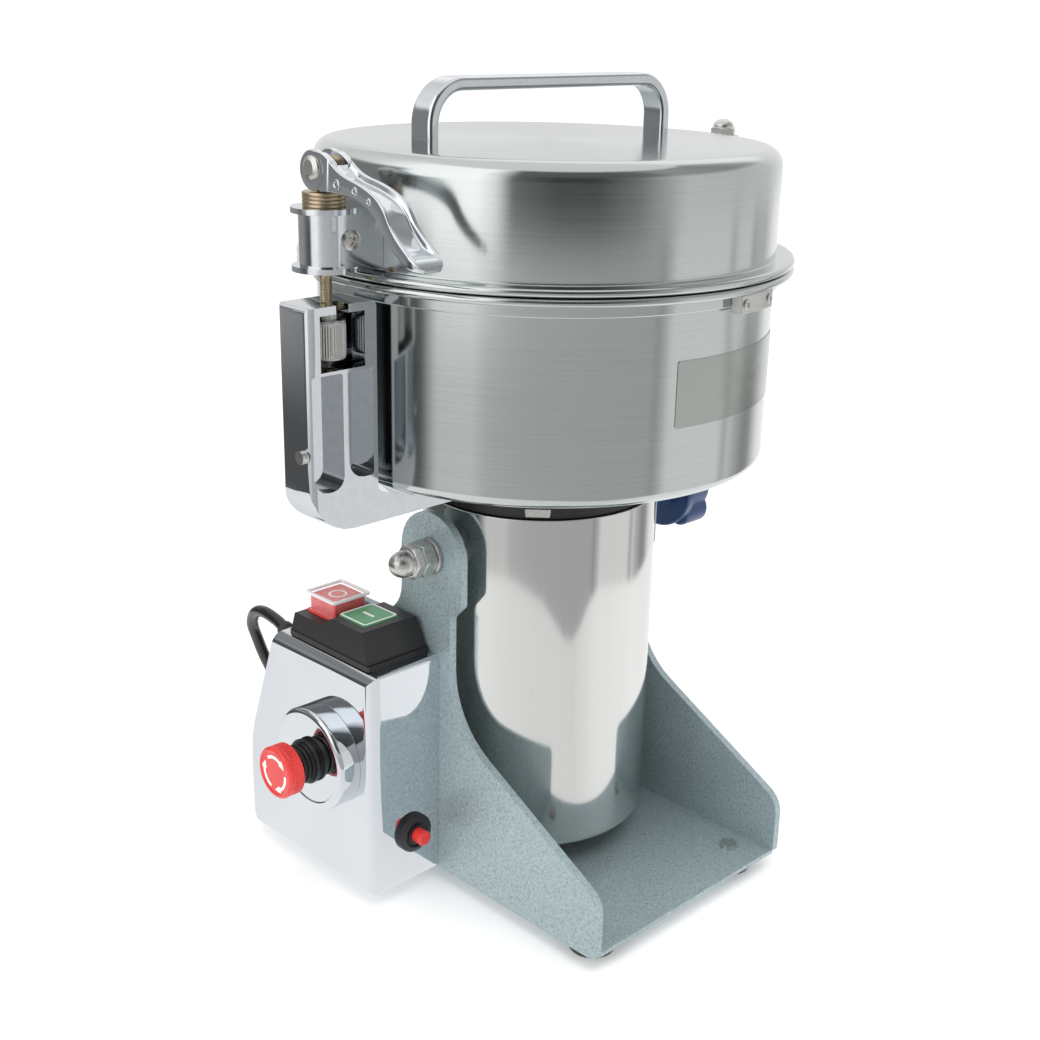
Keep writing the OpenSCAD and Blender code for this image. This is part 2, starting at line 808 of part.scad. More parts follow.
module switch_housing() {
    left = switch_x - switch_w / 2;
    right = switch_x + switch_w / 2;
    low = switch_z - eps;
    high = deck_front_z + eps;
    side = [
        [switch_front + 2, low, 0], [switch_back - 1.5, low, 0], [switch_back - 3.5, deck_rear_z, 1],
        [deck_step_y + 4, deck_rear_z, 4], [deck_step_y - 3, deck_front_z, 3],
        [switch_front + 8, deck_front_z, 1]
    ];
    front = [
        [left + 0.5, low, 0], [right - 0.5, low, 0],
        [right - switch_draft, high, 0.5], [left + switch_draft, high, 0.5]
    ];
    flange = [
        [left, switch_front, 2], [right, switch_front, 2], [right, switch_back, 2], [left, switch_back, 2]
    ];
    color([0.1, 0.1, 0.11])
    difference() {
        union() {
            slab_z(box_top, switch_z) polygon(outline(flange, 3));
            intersection() {
                slab_x(switch_x - switch_w, switch_x + switch_w) polygon(outline(side, 5));
                slab_y(switch_front - 1, switch_back + 1) polygon(outline(front, 3));
            }
            switch_tub(0, tub_low, box_top + 1);
        }
        button_bar(start_w, start_y, start_len, well_floor, deck_front_z + 5, part_gap);
        button_bar(stop_w, stop_y, stop_len, well_floor, deck_front_z + 5, part_gap);
    }
}

module contact_blocks() {
    color([0.2, 0.2, 0.21]) {
        for (y = [start_y + start_len / 2, stop_y + stop_len / 2])
            translate([switch_x - block_w / 2, y - block_len / 2, tub_low - block_h])
                cube([block_w, block_len, block_h]);
        difference() {
            translate([neck_back_x, estop_back - estop_block_w / 2, estop_h - estop_block_w / 2])
                cube([estop_block_len, estop_block_w, estop_block_w]);
            bar_x(neck_back_x - 1, stem_pocket_x, estop_back, estop_h, stem_r + part_gap);
        }
    }
}

module start_button() {
    color([0.1, 0.55, 0.25]) button_bar(start_w, start_y, start_len, button_bottom, start_top, 0);
}

// Red body of the stop button inside its clear cap
module stop_button() {
    inside = cap_wall + 2 * seat_gap;
    color([0.8, 0.1, 0.08]) {
        button_bar(stop_w, stop_y, stop_len, cap_low, stop_top - cap_wall - seat_gap, -inside);
        button_bar(stop_w, stop_y, stop_len, button_bottom, cap_low, 0);
    }
}

module stop_cap() {
    color([0.9, 0.85, 0.85, 0.5])
    difference() {
        button_bar(stop_w, stop_y, stop_len, cap_low, stop_top, 0);
        button_bar(stop_w, stop_y, stop_len, cap_low - 1, stop_top - cap_wall, -cap_wall);
    }
}

module estop_collar() {
    bore = neck_r + seat_gap;
    inside = collar_r - collar_sheet;
    wall = outline([
        [bore, collar_d - collar_sheet, 0], [inside, collar_d - collar_sheet, 1.5], [inside, 0, 0],
        [collar_r, 0, 0], [collar_r, collar_d, 3], [bore, collar_d, 0]
    ]);
    color([0.88, 0.89, 0.9])
        translate([estop_x, estop_back, estop_h]) rotate([0, -90, 0]) rotate_extrude() polygon(wall);
}

module estop_neck() {
    color([0.09, 0.09, 0.1])
    difference() {
        union() {
            bar_x(neck_front_x, neck_back_x, estop_back, estop_h, neck_r);
            bar_x(estop_x - collar_d - neck_ring_t, estop_x - collar_d, estop_back, estop_h, neck_ring_r);
            bar_x(estop_x + box_sheet, estop_x + box_sheet + neck_nut_t, estop_back, estop_h, neck_nut_r);
        }
        bar_x(neck_front_x - 1, neck_back_x + 1, estop_back, estop_h, stem_r + run_fit);
    }
}

module estop_stem() {
    color([0.25, 0.25, 0.26]) bar_x(stem_front_x, stem_back_x, estop_back, estop_h, stem_r);
}

module estop_head() {
    bore = stem_r + run_fit;
    shell = outline([
        [0, -1.2, 0], [bore, -1.2, 0], [bore, -head_cap_t, 0], [head_bore, -head_cap_t, 0.6],
        [head_bore, -head_d, 0], [head_r, -head_d, 0.8], [head_r, 0, 2], [0, 0, 0]
    ]);
    color([0.85, 0.1, 0.08])
        translate([head_front_x, estop_back, estop_h]) rotate([0, -90, 0]) rotate_extrude() polygon(shell);
}

module breaker() {
    bore = reset_r + run_fit;
    bezel = outline([
        [bore, 0, 0], [bezel_r, 0, 0], [bezel_r, bezel_d, 2.2],
        [bore + 1.5, bezel_d + 1, 0], [bore, bezel_d + 1, 0]
    ]);
    color([0.08, 0.08, 0.09])
    difference() {
        union() {
            translate([reset_x, -box_front, reset_h]) rotate([90, 0, 0]) rotate_extrude() polygon(bezel);
            bar_y(reset_x, -box_front, -box_front + breaker_len, reset_h, breaker_body_r);
        }
        bar_y(reset_x, -box_front - 10, reset_bore_end, reset_h, bore);
    }
}

module reset_button() {
    pin = outline([[0, 0, 0], [reset_r, 0, 0], [reset_r, reset_len, 0.8], [0, reset_len, 0]]);
    color([0.85, 0.12, 0.1])
        translate([reset_x, reset_front_y + reset_len, reset_h]) rotate([90, 0, 0])
            rotate_extrude() polygon(pin);
}

// Places its children with z along the strain relief, z = 0 on the back of the box
module gland_frame() {
    translate([gland_x, gland_y, gland_z]) rotate([-90 + gland_angle, 0, 0]) children();
}

module cord_gland() {
    ribs = 3;
    seat = [
        [0, -box_sheet - 3], [gland_flange_r, -box_sheet - 3], [gland_flange_r, -box_sheet],
        [gland_neck_r, -box_sheet], [gland_neck_r, 0], [gland_flange_r, 0], [gland_flange_r, 2.5], [7.6, 2.5]
    ];
    boot = [
        for (k = [0 : ribs - 1]) let (z = 6 + 5 * k, r = 7.4 - 0.7 * k)
        each [[r, z], [r - 1.2, z + 0.6], [r - 1.2, z + 1.8], [r - 0.25, z + 2.4]]
    ];
    side = concat(seat, boot, [[cord_r + 1.2, gland_len], [0, gland_len]]);
    color([0.1, 0.1, 0.1]) gland_frame() rotate_extrude() polygon(side);
}

module mains_cord() {
    color([0.08, 0.08, 0.08]) tube(cord_path, cord_r, cord_sides, [1, -1, 0]);
}

module cord_coil() {
    color([0.08, 0.08, 0.08]) tube(coil_path, cord_r, 6, [0, 0, 1]);
}

module cord_tie() {
    low = 0.05 + tie_t;
    high = coil_high + cord_r + 0.3;
    hole = [[tie_in, low, 2.2], [tie_out, low, 2.2], [tie_out, high, 3.2], [tie_in, high, 3.2]];
    color([0.15, 0.15, 0.16])
        translate([coil_x, coil_y, 0]) rotate([0, 0, tie_angle])
            slab_y(-tie_w / 2, tie_w / 2) difference() {
                polygon(outline(inset(hole, -tie_t), 4));
                polygon(outline(hole, 4));
            }
}

module mains_plug() {
    relief = [[0, 0], [cord_r + 1, 0], [7.5, plug_relief], [0, plug_relief]];
    back = plug_relief + plug_grip;
    color([0.1, 0.1, 0.1])
    translate(plug_start) rotate([0, 0, coil_out_angle]) rotate([-90, 0, 0]) {
        rotate_extrude() polygon(relief);
        intersection() {
            translate([0, 0, plug_relief - eps]) cylinder(h = plug_grip + 2, r1 = 10, r2 = 13.5);
            translate([-plug_r, -plug_half + 2, plug_relief - 1])
                cube([2 * plug_r, 2 * plug_half - 4, plug_grip + 4]);
        }
        intersection() {
            translate([0, 0, back]) cylinder(h = plug_face, r = plug_r);
            translate([-plug_r - 1, -plug_half, back - 1])
                cube([2 * plug_r + 2, 2 * plug_half, plug_face + 2]);
        }
        for (s = [-1, 1])
            translate([s * plug_pin_gap / 2, 0, back])
                cylinder(h = plug_face + plug_pin_len, r = plug_pin_r);
    }
}

module motor_housing() {
    inside = motor_r - motor_sheet;
    side = outline([
        [bottom_lip, motor_low, 0], [motor_r, motor_low, housing_round], [motor_r, motor_top, 0],
        [inside, motor_top, 0], [inside, cover_z, housing_round - motor_sheet], [bottom_lip, cover_z, 0]
    ]);
    color([0.86, 0.87, 0.88]) rotate_extrude() polygon(side);
}

module motor_base() {
    seat = motor_r - motor_sheet - seat_gap;
    side = [
        [0, cover_z - 1.5], [bottom_lip - seat_gap, cover_z - 1.5], [bottom_lip - seat_gap, cover_z],
        [seat - housing_round + motor_sheet, cover_z], [seat, cover_z + housing_round - motor_sheet],
        [seat, cover_z + cover_t + 3], [seat - 3, cover_z + cover_t + 3], [seat - 3, cover_z + cover_t],
        [bearing_boss_r, cover_z + cover_t], [bearing_boss_r, lower_bearing_z + bearing_w],
        [bearing_r + seat_gap, lower_bearing_z + bearing_w], [bearing_r + seat_gap, lower_bearing_z],
        [0, lower_bearing_z]
    ];
    color([0.1, 0.1, 0.11]) rotate_extrude() polygon(side);
}

module motor_flange() {
    side = [
        [bearing_r + seat_gap, upper_bearing_z], [bearing_r + seat_gap, upper_bearing_z + bearing_w],
        [journal_r + 1, upper_bearing_z + bearing_w], [journal_r + 1, bowl_z], [collar_flange_r, bowl_z],
        [collar_flange_r, flange_step_z], [flange_r, flange_step_z], [flange_r, flange_z],
        [bearing_boss_r + 8, flange_z], [bearing_boss_r + 8, upper_bearing_z]
    ];
    color([0.09, 0.09, 0.1])
    difference() {
        rotate_extrude() polygon(side);
        for (x = [-foot_screw_x, foot_screw_x], y = [-foot_screw_y, foot_screw_y])
            bar_z(x, y, flange_step_z - arm_screw_depth, flange_step_z + 1, arm_screw_r + seat_gap);
    }
}

module trunnions() {
    color([0.8, 0.8, 0.82]) {
        difference() {
            bar_x(-boss_end, -motor_r + 12, pivot_back, pivot_h, boss_r);
            bar_z(0, 0, pivot_h - boss_r - 1, pivot_h + boss_r + 1, motor_r + seat_gap);
        }
        bar_x(-stud_left_end, -boss_end + 1, pivot_back, pivot_h, stud_r);
        difference() {
            bar_x(motor_r - 12, boss_end, pivot_back, pivot_h, boss_r);
            bar_z(0, 0, pivot_h - boss_r - 1, pivot_h + boss_r + 1, motor_r + seat_gap);
        }
        bar_x(boss_end - 1, stud_right_end, pivot_back, pivot_h, stud_r);
    }
}

module pivot_washers() {
    color([0.82, 0.82, 0.84])
    for (side = [0, 1]) mirror([side, 0, 0]) difference() {
        bar_x(pivot_stack, pivot_nut_x, pivot_back, pivot_h, washer_r);
        bar_x(pivot_stack - 1, pivot_nut_x + 1, pivot_back, pivot_h, stud_r + seat_gap);
    }
}

module pivot_nuts() {
    color([0.8, 0.8, 0.82]) {
        translate([-pivot_nut_x, pivot_back, pivot_h]) rotate([0, -90, 0]) difference() {
            linear_extrude(pivot_nut_t) hexagon(pivot_nut_af);
            translate([0, 0, -1]) cylinder(h = pivot_nut_t + 2, r = stud_r + seat_gap);
        }
        translate([-acorn_x, pivot_back, pivot_h]) rotate([0, -90, 0])
            acorn(pivot_nut_af, acorn_t, acorn_dome_r, acorn_len, stud_r + seat_gap, acorn_hold + 0.2);
    }
}

module tilt_knob() {
    lobe_r = 8.5;
    waist = 21;
    color([0.08, 0.16, 0.33])
    translate([knob_x, pivot_back, pivot_h]) rotate([90, 0, 90]) difference() {
        union() {
            cylinder(h = knob_hub_len + 1, r = knob_hub_r);
            translate([0, 0, knob_hub_len]) cylinder(h = knob_skirt_t, r = knob_r - 3);
            translate([0, 0, knob_hub_len + knob_skirt_t - eps]) linear_extrude(knob_star_t) union() {
                circle(r = waist);
                for (k = [0 : knob_lobes - 1])
                    rotate(360 * k / knob_lobes + 90) translate([knob_r - lobe_r, 0]) circle(r = lobe_r);
            }
        }
        translate([0, 0, -1]) cylinder(h = stud_right_end - knob_x + 1.5, r = stud_r + run_fit);
    }
}

module bowl() {
    side = outline([
        [seal_r + seat_gap, bowl_z, 0], [bowl_r, bowl_z, 6], [bowl_r, bowl_top - bead_h - band_h, 0],
        [band_r, bowl_top - bead_h - band_h, 1], [band_r, bowl_top - bead_h, 0],
        [bead_r, bowl_top - bead_h, bead_h / 2], [bead_r, bowl_top, bead_edge],
        [bowl_r - bowl_sheet, bowl_top, 0],
        [bowl_r - bowl_sheet, bowl_floor, 5], [seal_r + seat_gap, bowl_floor, 0]
    ]);
    color([0.75, 0.75, 0.75]) rotate_extrude() polygon(side);
}

module rim_block() {
    z = bowl_top - bead_h - rim_block_h;
    color([0.6, 0.6, 0.61])
    intersection() {
        difference() {
            bar_z(0, 0, z, z + rim_block_h, band_r + rim_block_t);
            bar_z(0, 0, z - 1, z + rim_block_h + 1, band_r + seat_gap);
        }
        rotate([0, 0, rim_block_angle]) translate([band_r - 20, -rim_block_w / 2, z])
            cube([40, rim_block_w, rim_block_h]);
    }
}

// Side view of an arm on the +X side: upright beside the bowl and foot under it
arm_root = collar_flange_r - 6;
arm_outline = [
    [arm_root, arm_foot_z, 0], [arm_out, arm_foot_z, arm_corner], [arm_out, arm_top, 3],
    [arm_in, arm_top, 3], [arm_in, bowl_z + 1, 4], [arm_in - 20, arm_foot_top, 12],
    [arm_root, arm_foot_top, 0]
];

// An arm without its hollows, on the +X side
module arm_solid() {
    side = arm_w / 2;
    plan = [[arm_root, -side, 0], [arm_out, -side, 4], [arm_out, side, 4], [arm_root, side, 0]];
    difference() {
        intersection() {
            slab_y(-arm_w / 2, arm_w / 2) polygon(outline(arm_outline, 6));
            slab_z(arm_foot_z - 1, arm_top + 1) polygon(outline(plan, 4));
        }
        bar_z(0, 0, arm_foot_z - 1, arm_foot_top + 1, collar_flange_r + seat_gap);
        for (y = [-foot_screw_y, foot_screw_y])
            bar_z(foot_screw_x, y, arm_foot_z - 1, arm_foot_top + 1, arm_screw_r + seat_gap);
        bar_x(arm_out - side_screw_hold, arm_out + 1, side_screw_y, side_screw_z, arm_screw_r + seat_gap);
    }
}

// Two pockets of an arm below its slot, on the +X side, with a rib between them
module arm_pockets() {
    rib = post_x - 1;
    outer = [
        [rib + 1.5, pocket_low, 7], [arm_out - 2, pocket_low, 8],
        [arm_out - 2, pocket_top, 1], [rib + 1.5, pocket_top, 1]
    ];
    inner = [
        [arm_in + 2.5, pocket_low + 4, 2], [rib - 1.5, pocket_low + 4, 9],
        [rib - 1.5, pocket_top, 1], [arm_in + 2.5, pocket_top, 1]
    ];
    slab_y(-arm_w, pocket_y) polygon(outline(outer, 4));
    slab_y(-arm_w, pocket_y) polygon(outline(inner, 4));
}

module clamp_arm() {
    color([0.86, 0.87, 0.89])
    mirror([1, 0, 0]) difference() {
        arm_solid();
        arm_pockets();
        translate([post_x - slot_w / 2, -arm_w, slot_low]) cube([slot_w, arm_w + hollow_y, slot_h]);
        bar_z(post_x, 0, slot_top - 1, arm_top + 1, rod_r + 0.6);
        translate([post_x - rod_r - 0.6, -arm_w, slot_top - 1])
            cube([2 * (rod_r + 0.6), arm_w, arm_plate_t + 2]);
    }
}

module hinge_arm() {
    color([0.86, 0.87, 0.89])
    difference() {
        union() {
            difference() {
                arm_solid();
                arm_pockets();
                translate([post_x + 13, -arm_w, slot_low]) cube([4, arm_w + hollow_y, slot_h]);
            }
            bar_z(post_x, 0, slot_low, column_top, lug_r);
        }
        bar_z(post_x, 0, slot_low - 5, column_top + 1, post_r + seat_gap);
    }
}

module arm_screws() {
    color([0.8, 0.8, 0.81]) {
        for (x = [-foot_screw_x, foot_screw_x], y = [-foot_screw_y, foot_screw_y]) {
            bar_z(x, y, arm_foot_top, arm_foot_top + 3, arm_screw_head);
            bar_z(x, y, flange_step_z - arm_screw_depth + 0.5, arm_foot_top + 1, arm_screw_r);
        }
        for (side = [0, 1]) mirror([side, 0, 0]) {
            bar_x(arm_out, arm_out + side_screw_out, side_screw_y, side_screw_z, side_screw_r);
            bar_x(arm_out - side_screw_hold + 0.1, arm_out + 1, side_screw_y, side_screw_z, arm_screw_r);
        }
    }
}

module hinge_post() {
    color([0.8, 0.8, 0.8]) bar_z(post_x, 0, slot_low - 4.9, hinge_nut_z + 4, post_r);
}

module hinge_spring() {
    rings = 8 * spring_turns;
    path = [
        for (i = [0 : rings]) let (w = 360 * i / 8)
        [post_x + spring_r * cos(w), spring_r * sin(w), spring_low + spring_h * i / rings]
    ];
    color([0.7, 0.7, 0.7]) tube(path, spring_wire, 6, [0, 0, 1]);
}

module hinge_cap() {
    color([0.8, 0.8, 0.82])
    translate([post_x, 0, hinge_washer_z]) {
        difference() {
            cylinder(h = hinge_washer_t, r = 9);
            translate([0, 0, -1]) cylinder(h = hinge_washer_t + 2, r = post_r + seat_gap);
        }
        translate([0, 0, hinge_washer_t]) acorn(hinge_nut_af, 4.5, 6, 9, post_r + seat_gap, 4.5);
    }
}

module field_core() {
    shoe_x = core_r * sin(pole_spread);
    shoe_y = core_r * cos(pole_spread);
    color([0.45, 0.45, 0.47])
    slab_z(core_low, core_low + core_h) difference() {
        union() {
            difference() {
                circle(r = core_r);
                circle(r = core_r - yoke_t);
            }
            for (side = [-1, 1]) {
                translate([-pole_w / 2, side > 0 ? shoe_r : -core_r + yoke_t / 2])
                    square([pole_w, core_r - yoke_t / 2 - shoe_r]);
                intersection() {
                    circle(r = shoe_r + shoe_t);
                    polygon([[0, 0], [shoe_x, side * shoe_y], [0, side * core_r], [-shoe_x, side * shoe_y]]);
                }
            }
        }
        circle(r = shoe_r);
    }
}

module field_coils() {
    deep = coil_out_y - coil_in_y;
    color([0.6, 0.3, 0.12])
    for (side = [0, 1]) mirror([0, side, 0]) difference() {
        translate([-pole_w / 2 - coil_side, coil_in_y, core_low - coil_end])
            cube([pole_w + 2 * coil_side, deep, core_h + 2 * coil_end]);
        translate([-pole_w / 2 - seat_gap, coil_in_y - 1, core_low - seat_gap])
            cube([pole_w + 2 * seat_gap, deep + 2, core_h + 2 * seat_gap]);
    }
}

module brush_holders() {
    color([0.35, 0.25, 0.12])
    for (side = [0, 1]) mirror([side, 0, 0]) intersection() {
        translate([commutator_r + part_gap, -brush_w / 2, brush_z - brush_h / 2])
            cube([motor_r, brush_w, brush_h]);
        bar_z(0, 0, brush_z - brush_h, brush_z + brush_h, core_r);
    }
}

module bearings() {
    color([0.75, 0.76, 0.78])
    for (z = [lower_bearing_z, upper_bearing_z]) difference() {
        bar_z(0, 0, z, z + bearing_w, bearing_r);
        bar_z(0, 0, z - 1, z + bearing_w + 1, journal_r + run_fit);
    }
}

module shaft_seal() {
    color([0.15, 0.15, 0.16])
    difference() {
        bar_z(0, 0, bowl_z, bowl_z + seal_h, seal_r);
        bar_z(0, 0, bowl_z - 1, bowl_z + seal_h + 1, shaft_r + part_gap);
    }
}

module motor_shaft() {
    low = lower_bearing_z + 0.5;
    core_end = fan_z + fan_h;
    step = upper_bearing_z + bearing_w + 2;
    high = blade_nut_z + blade_nut_hold - 0.2;
    side = [
        [0, low], [journal_r, low], [journal_r, commutator_low], [core_shaft_r, commutator_low],
        [core_shaft_r, core_end], [journal_r, core_end], [journal_r, step],
        [shaft_r, step], [shaft_r, high], [0, high]
    ];
    color([0.7, 0.7, 0.72]) rotate_extrude() polygon(side);
}

module armature() {
    cut_w = armature_r * 0.11;
    cut_d = armature_r * 0.32;
    winding_top = armature_low + armature_h + winding_end;
    color([0.5, 0.42, 0.35])
    difference() {
        union() {
            bar_z(0, 0, armature_low, armature_low + armature_h, armature_r);
            bar_z(0, 0, armature_low - winding_end, winding_top, armature_r * 0.8);
        }
        bar_z(0, 0, armature_low - winding_end - 1, winding_top + 1, core_shaft_r + seat_gap);
        for (k = [0 : armature_slots - 1])
            rotate([0, 0, 360 * k / armature_slots])
                translate([armature_r - cut_d, -cut_w / 2, armature_low - winding_end - 1])
                    cube([cut_d + 1, cut_w, armature_h + 2 * winding_end + 2]);
    }
}

module commutator() {
    color([0.75, 0.45, 0.2])
    difference() {
        bar_z(0, 0, commutator_low, commutator_low + commutator_h, commutator_r);
        bar_z(0, 0, commutator_low - 1, commutator_low + commutator_h + 1, core_shaft_r + seat_gap);
        for (k = [0 : commutator_bars - 1])
            rotate([0, 0, 360 * k / commutator_bars])
                translate([commutator_r - 1, -0.3, commutator_low - 1]) cube([2, 0.6, commutator_h + 2]);
    }
}

module cooling_fan() {
    hub = core_shaft_r + 4;
    color([0.2, 0.2, 0.22])
    difference() {
        union() {
            bar_z(0, 0, fan_z, fan_z + fan_disc, fan_r);
            bar_z(0, 0, fan_z, fan_z + fan_h, hub);
            for (k = [0 : fan_blades - 1])
                rotate([0, 0, 360 * k / fan_blades])
                    translate([hub - 2, -fan_disc / 2, fan_z + fan_disc - eps])
                        cube([fan_r - hub - 1, fan_disc, fan_h - fan_disc]);
        }
        bar_z(0, 0, fan_z - 1, fan_z + fan_h + 1, core_shaft_r + seat_gap);
    }
}

// Blade with bent, swept tips, its flat middle on z = 0
module blade() {
    half = blade_len / 2;
    bend = half * blade_bend_at;
    side = [
        [-half, blade_rise], [-bend, 0], [bend, 0], [half, blade_rise],
        [half, blade_rise + blade_t], [bend, blade_t], [-bend, blade_t], [-half, blade_rise + blade_t]
    ];
    edge = [
        [-half, -blade_w * 0.1, 0], [-half + 26, -blade_w / 2, 8], [-hub_r, -blade_w / 2, 0],
        [hub_r, -blade_w * 0.36, 0], [half, -blade_w * 0.32, 2]
    ];
    plan = concat(edge, [for (p = edge) [-p.x, -p.y, p.z]]);
    difference() {
        intersection() {
            slab_y(-blade_w, blade_w) polygon(side);
            slab_z(-1, blade_rise + blade_t + 1) polygon(outline(plan, 4));
        }
        translate([0, 0, -1]) cylinder(h = blade_t + 2, r = shaft_r + seat_gap);
    }
}

module lower_blade() {
    color([0.8, 0.8, 0.82]) translate([0, 0, lower_z]) blade();
}

module upper_blade() {
    color([0.8, 0.8, 0.82]) translate([0, 0, upper_z]) rotate([0, 0, 90]) blade();
}

module blade_spacers() {
    low = bowl_z + seal_h + part_gap;
    color([0.72, 0.72, 0.74])
    for (z = [[low, lower_z], [lower_z + blade_t, upper_z], [upper_z + blade_t, blade_nut_z]]) difference() {
        bar_z(0, 0, z[0], z[1], hub_r);
        bar_z(0, 0, z[0] - 1, z[1] + 1, shaft_r + seat_gap);
    }
}

module blade_nut() {
    color([0.8, 0.8, 0.82]) translate([0, 0, blade_nut_z])
        acorn(blade_nut_af, blade_nut_t, 9, 15, shaft_r + seat_gap, blade_nut_hold);
}

module lid() {
    side = outline([
        [0, lid_top - bowl_sheet, 0], [lid_in, lid_top - bowl_sheet, lid_shoulder - bowl_sheet],
        [lid_in, lid_z, 0],
        [bead_r, lid_z, bead_edge], [bead_r, lid_z + bead_h, bead_h / 2], [lid_r, lid_z + bead_h, 0],
        [lid_r, lid_top, lid_shoulder], [0, lid_top, 0]
    ], 8);
    color([0.78, 0.78, 0.78]) rotate_extrude() polygon(side);
}

module lid_gasket() {
    low = lid_z + 0.1;
    side = outline([
        [gasket_in, low + gasket_h / 2, 0], [gasket_in + 2, low, 0.5], [lid_in - seat_gap, low, 0],
        [lid_in - seat_gap, low + gasket_h, 0], [gasket_in + 1, low + gasket_h, 0.5]
    ], 3);
    color([0.85, 0.84, 0.8]) rotate_extrude() polygon(side);
}

module handle() {
    half = handle_len / 2;
    top = lid_top + handle_h;
    inner = half - handle_t;
    under = top - handle_t;
    inner_bend = handle_bend - handle_t;
    strap = outline([
        [-half, lid_top, 0], [half, lid_top, 0], [half, top, handle_bend], [-half, top, handle_bend]
    ], 10);
    hollow = outline([
        [-inner, lid_top - 1, 0], [inner, lid_top - 1, 0],
        [inner, under, inner_bend], [-inner, under, inner_bend]
    ], 10);
    color([0.86, 0.87, 0.88])
    slab_y(-handle_w / 2, handle_w / 2) difference() {
        polygon(strap);
        polygon(hollow);
    }
}

// Bracket on the lid's side round a post on the +X side, with a bore of radius hole
module lug(hole, plates) {
    difference() {
        union() {
            bar_z(post_x, 0, lug_z, lug_top, lug_r);
            translate([bowl_r - 8, -lug_r, lug_z]) cube([post_x - bowl_r + 8, 2 * lug_r, lug_h]);
            if (plates) {
                bar_z(post_x, 0, lug_z, lug_z + lug_plate_t, lug_plate_r);
                bar_z(post_x, 0, lug_top - lug_plate_t, lug_top, lug_plate_r);
            }
        }
        bar_z(0, 0, lug_z - 1, lug_top + 1, lid_r + seat_gap);
        bar_z(post_x, 0, lug_z - 1, lug_top + 1, hole);
        bar_y(lug_screw_x, -lug_r - 1, -lug_r + lug_screw_depth, lug_screw_z, arm_screw_r + seat_gap);
    }
}

module clamp_lug() {
    color([0.8, 0.81, 0.82]) mirror([1, 0, 0]) lug(rod_r + run_fit, true);
}

module hinge_lug() {
    color([0.8, 0.81, 0.82]) lug(post_r + run_fit, false);
}

module lug_screws() {
    color([0.85, 0.85, 0.85])
    for (side = [0, 1]) mirror([side, 0, 0]) {
        bar_y(lug_screw_x, -lug_r - 2, -lug_r, lug_screw_z, lug_screw_r);
        bar_y(lug_screw_x, -lug_r - 1, -lug_r + lug_screw_depth - 0.2, lug_screw_z, arm_screw_r);
    }
}

module lug_washers() {
    half = washer_stack / 2;
    color([0.72, 0.62, 0.5])
    for (z = [lug_top, lug_top + half]) difference() {
        bar_z(-post_x, 0, z, z + half - (z > lug_top ? 0 : 0.05), clamp_washer_r);
        bar_z(-post_x, 0, z - 1, z + half + 1, rod_r + run_fit);
    }
}

module pull_rod() {
    color([0.72, 0.6, 0.42])
    difference() {
        union() {
            bar_z(-post_x, 0, rod_low, pin_z - 2, rod_r);
            bar_x(-post_x - eye_w / 2, -post_x + eye_w / 2, 0, pin_z, eye_r);
        }
        bar_x(-post_x - eye_w, -post_x + eye_w, 0, pin_z, pin_r + seat_gap);
    }
}

module lever_pin() {
    over = lever_w / 2 + part_gap;
    color([0.82, 0.82, 0.84]) {
        bar_x(-post_x - over - 0.5, -post_x + over + 0.5, 0, pin_z, pin_r);
        bar_x(-post_x - over - pin_head_t, -post_x - over, 0, pin_z, pin_head_r);
        bar_x(-post_x + over, -post_x + over + pin_head_t, 0, pin_z, pin_head_r);
    }
}

module clamp_nut() {
    side = outline([
        [rod_r + run_fit, nut_low, 0], [nut_r, nut_low, 1], [nut_r, nut_top, 1], [nut_collar_r, nut_top, 0],
        [nut_collar_r, slot_top - part_gap, 0.4], [rod_r + run_fit, slot_top - part_gap, 0]
    ], 3);
    color([0.78, 0.78, 0.78]) translate([-post_x, 0, 0]) rotate_extrude() polygon(side);
}

// Cam lever seen from the side, in Y and Z from its pin: an S-shaped arm that runs forward and drops
lever_top = [
    [-5, 8.2, 0], [-20, -2, 14], [-38, -4.2, 16], [-51, -11, 10], [-56.5, -21, 10], [-lever_reach, -34.5, 2]
];
lever_under = [
    [-lever_reach + 2.8, -38.3, 1.8], [-52.4, -24.4, 10], [-46.8, -16, 10], [-30, -10.6, 14], [-4, -9.4, 0]
];
// Centre in Y and Z from the pin, and radius, of the dimples in the lever's outer side
lever_dimples = [[-17.8, -5.8, 2.4], [-31.2, -7.4, 2], [-41.5, -10.8, 1.7]];
dimple_d = 0.6;

// Half the lever's width at y from its pin
function lever_half(y) =
    let (from = -22, share = max(from - y, 0) / (lever_reach + from))
    lever_w / 2 + 0.6 + share * (lever_tip_w - lever_w - 1.2) / 2;

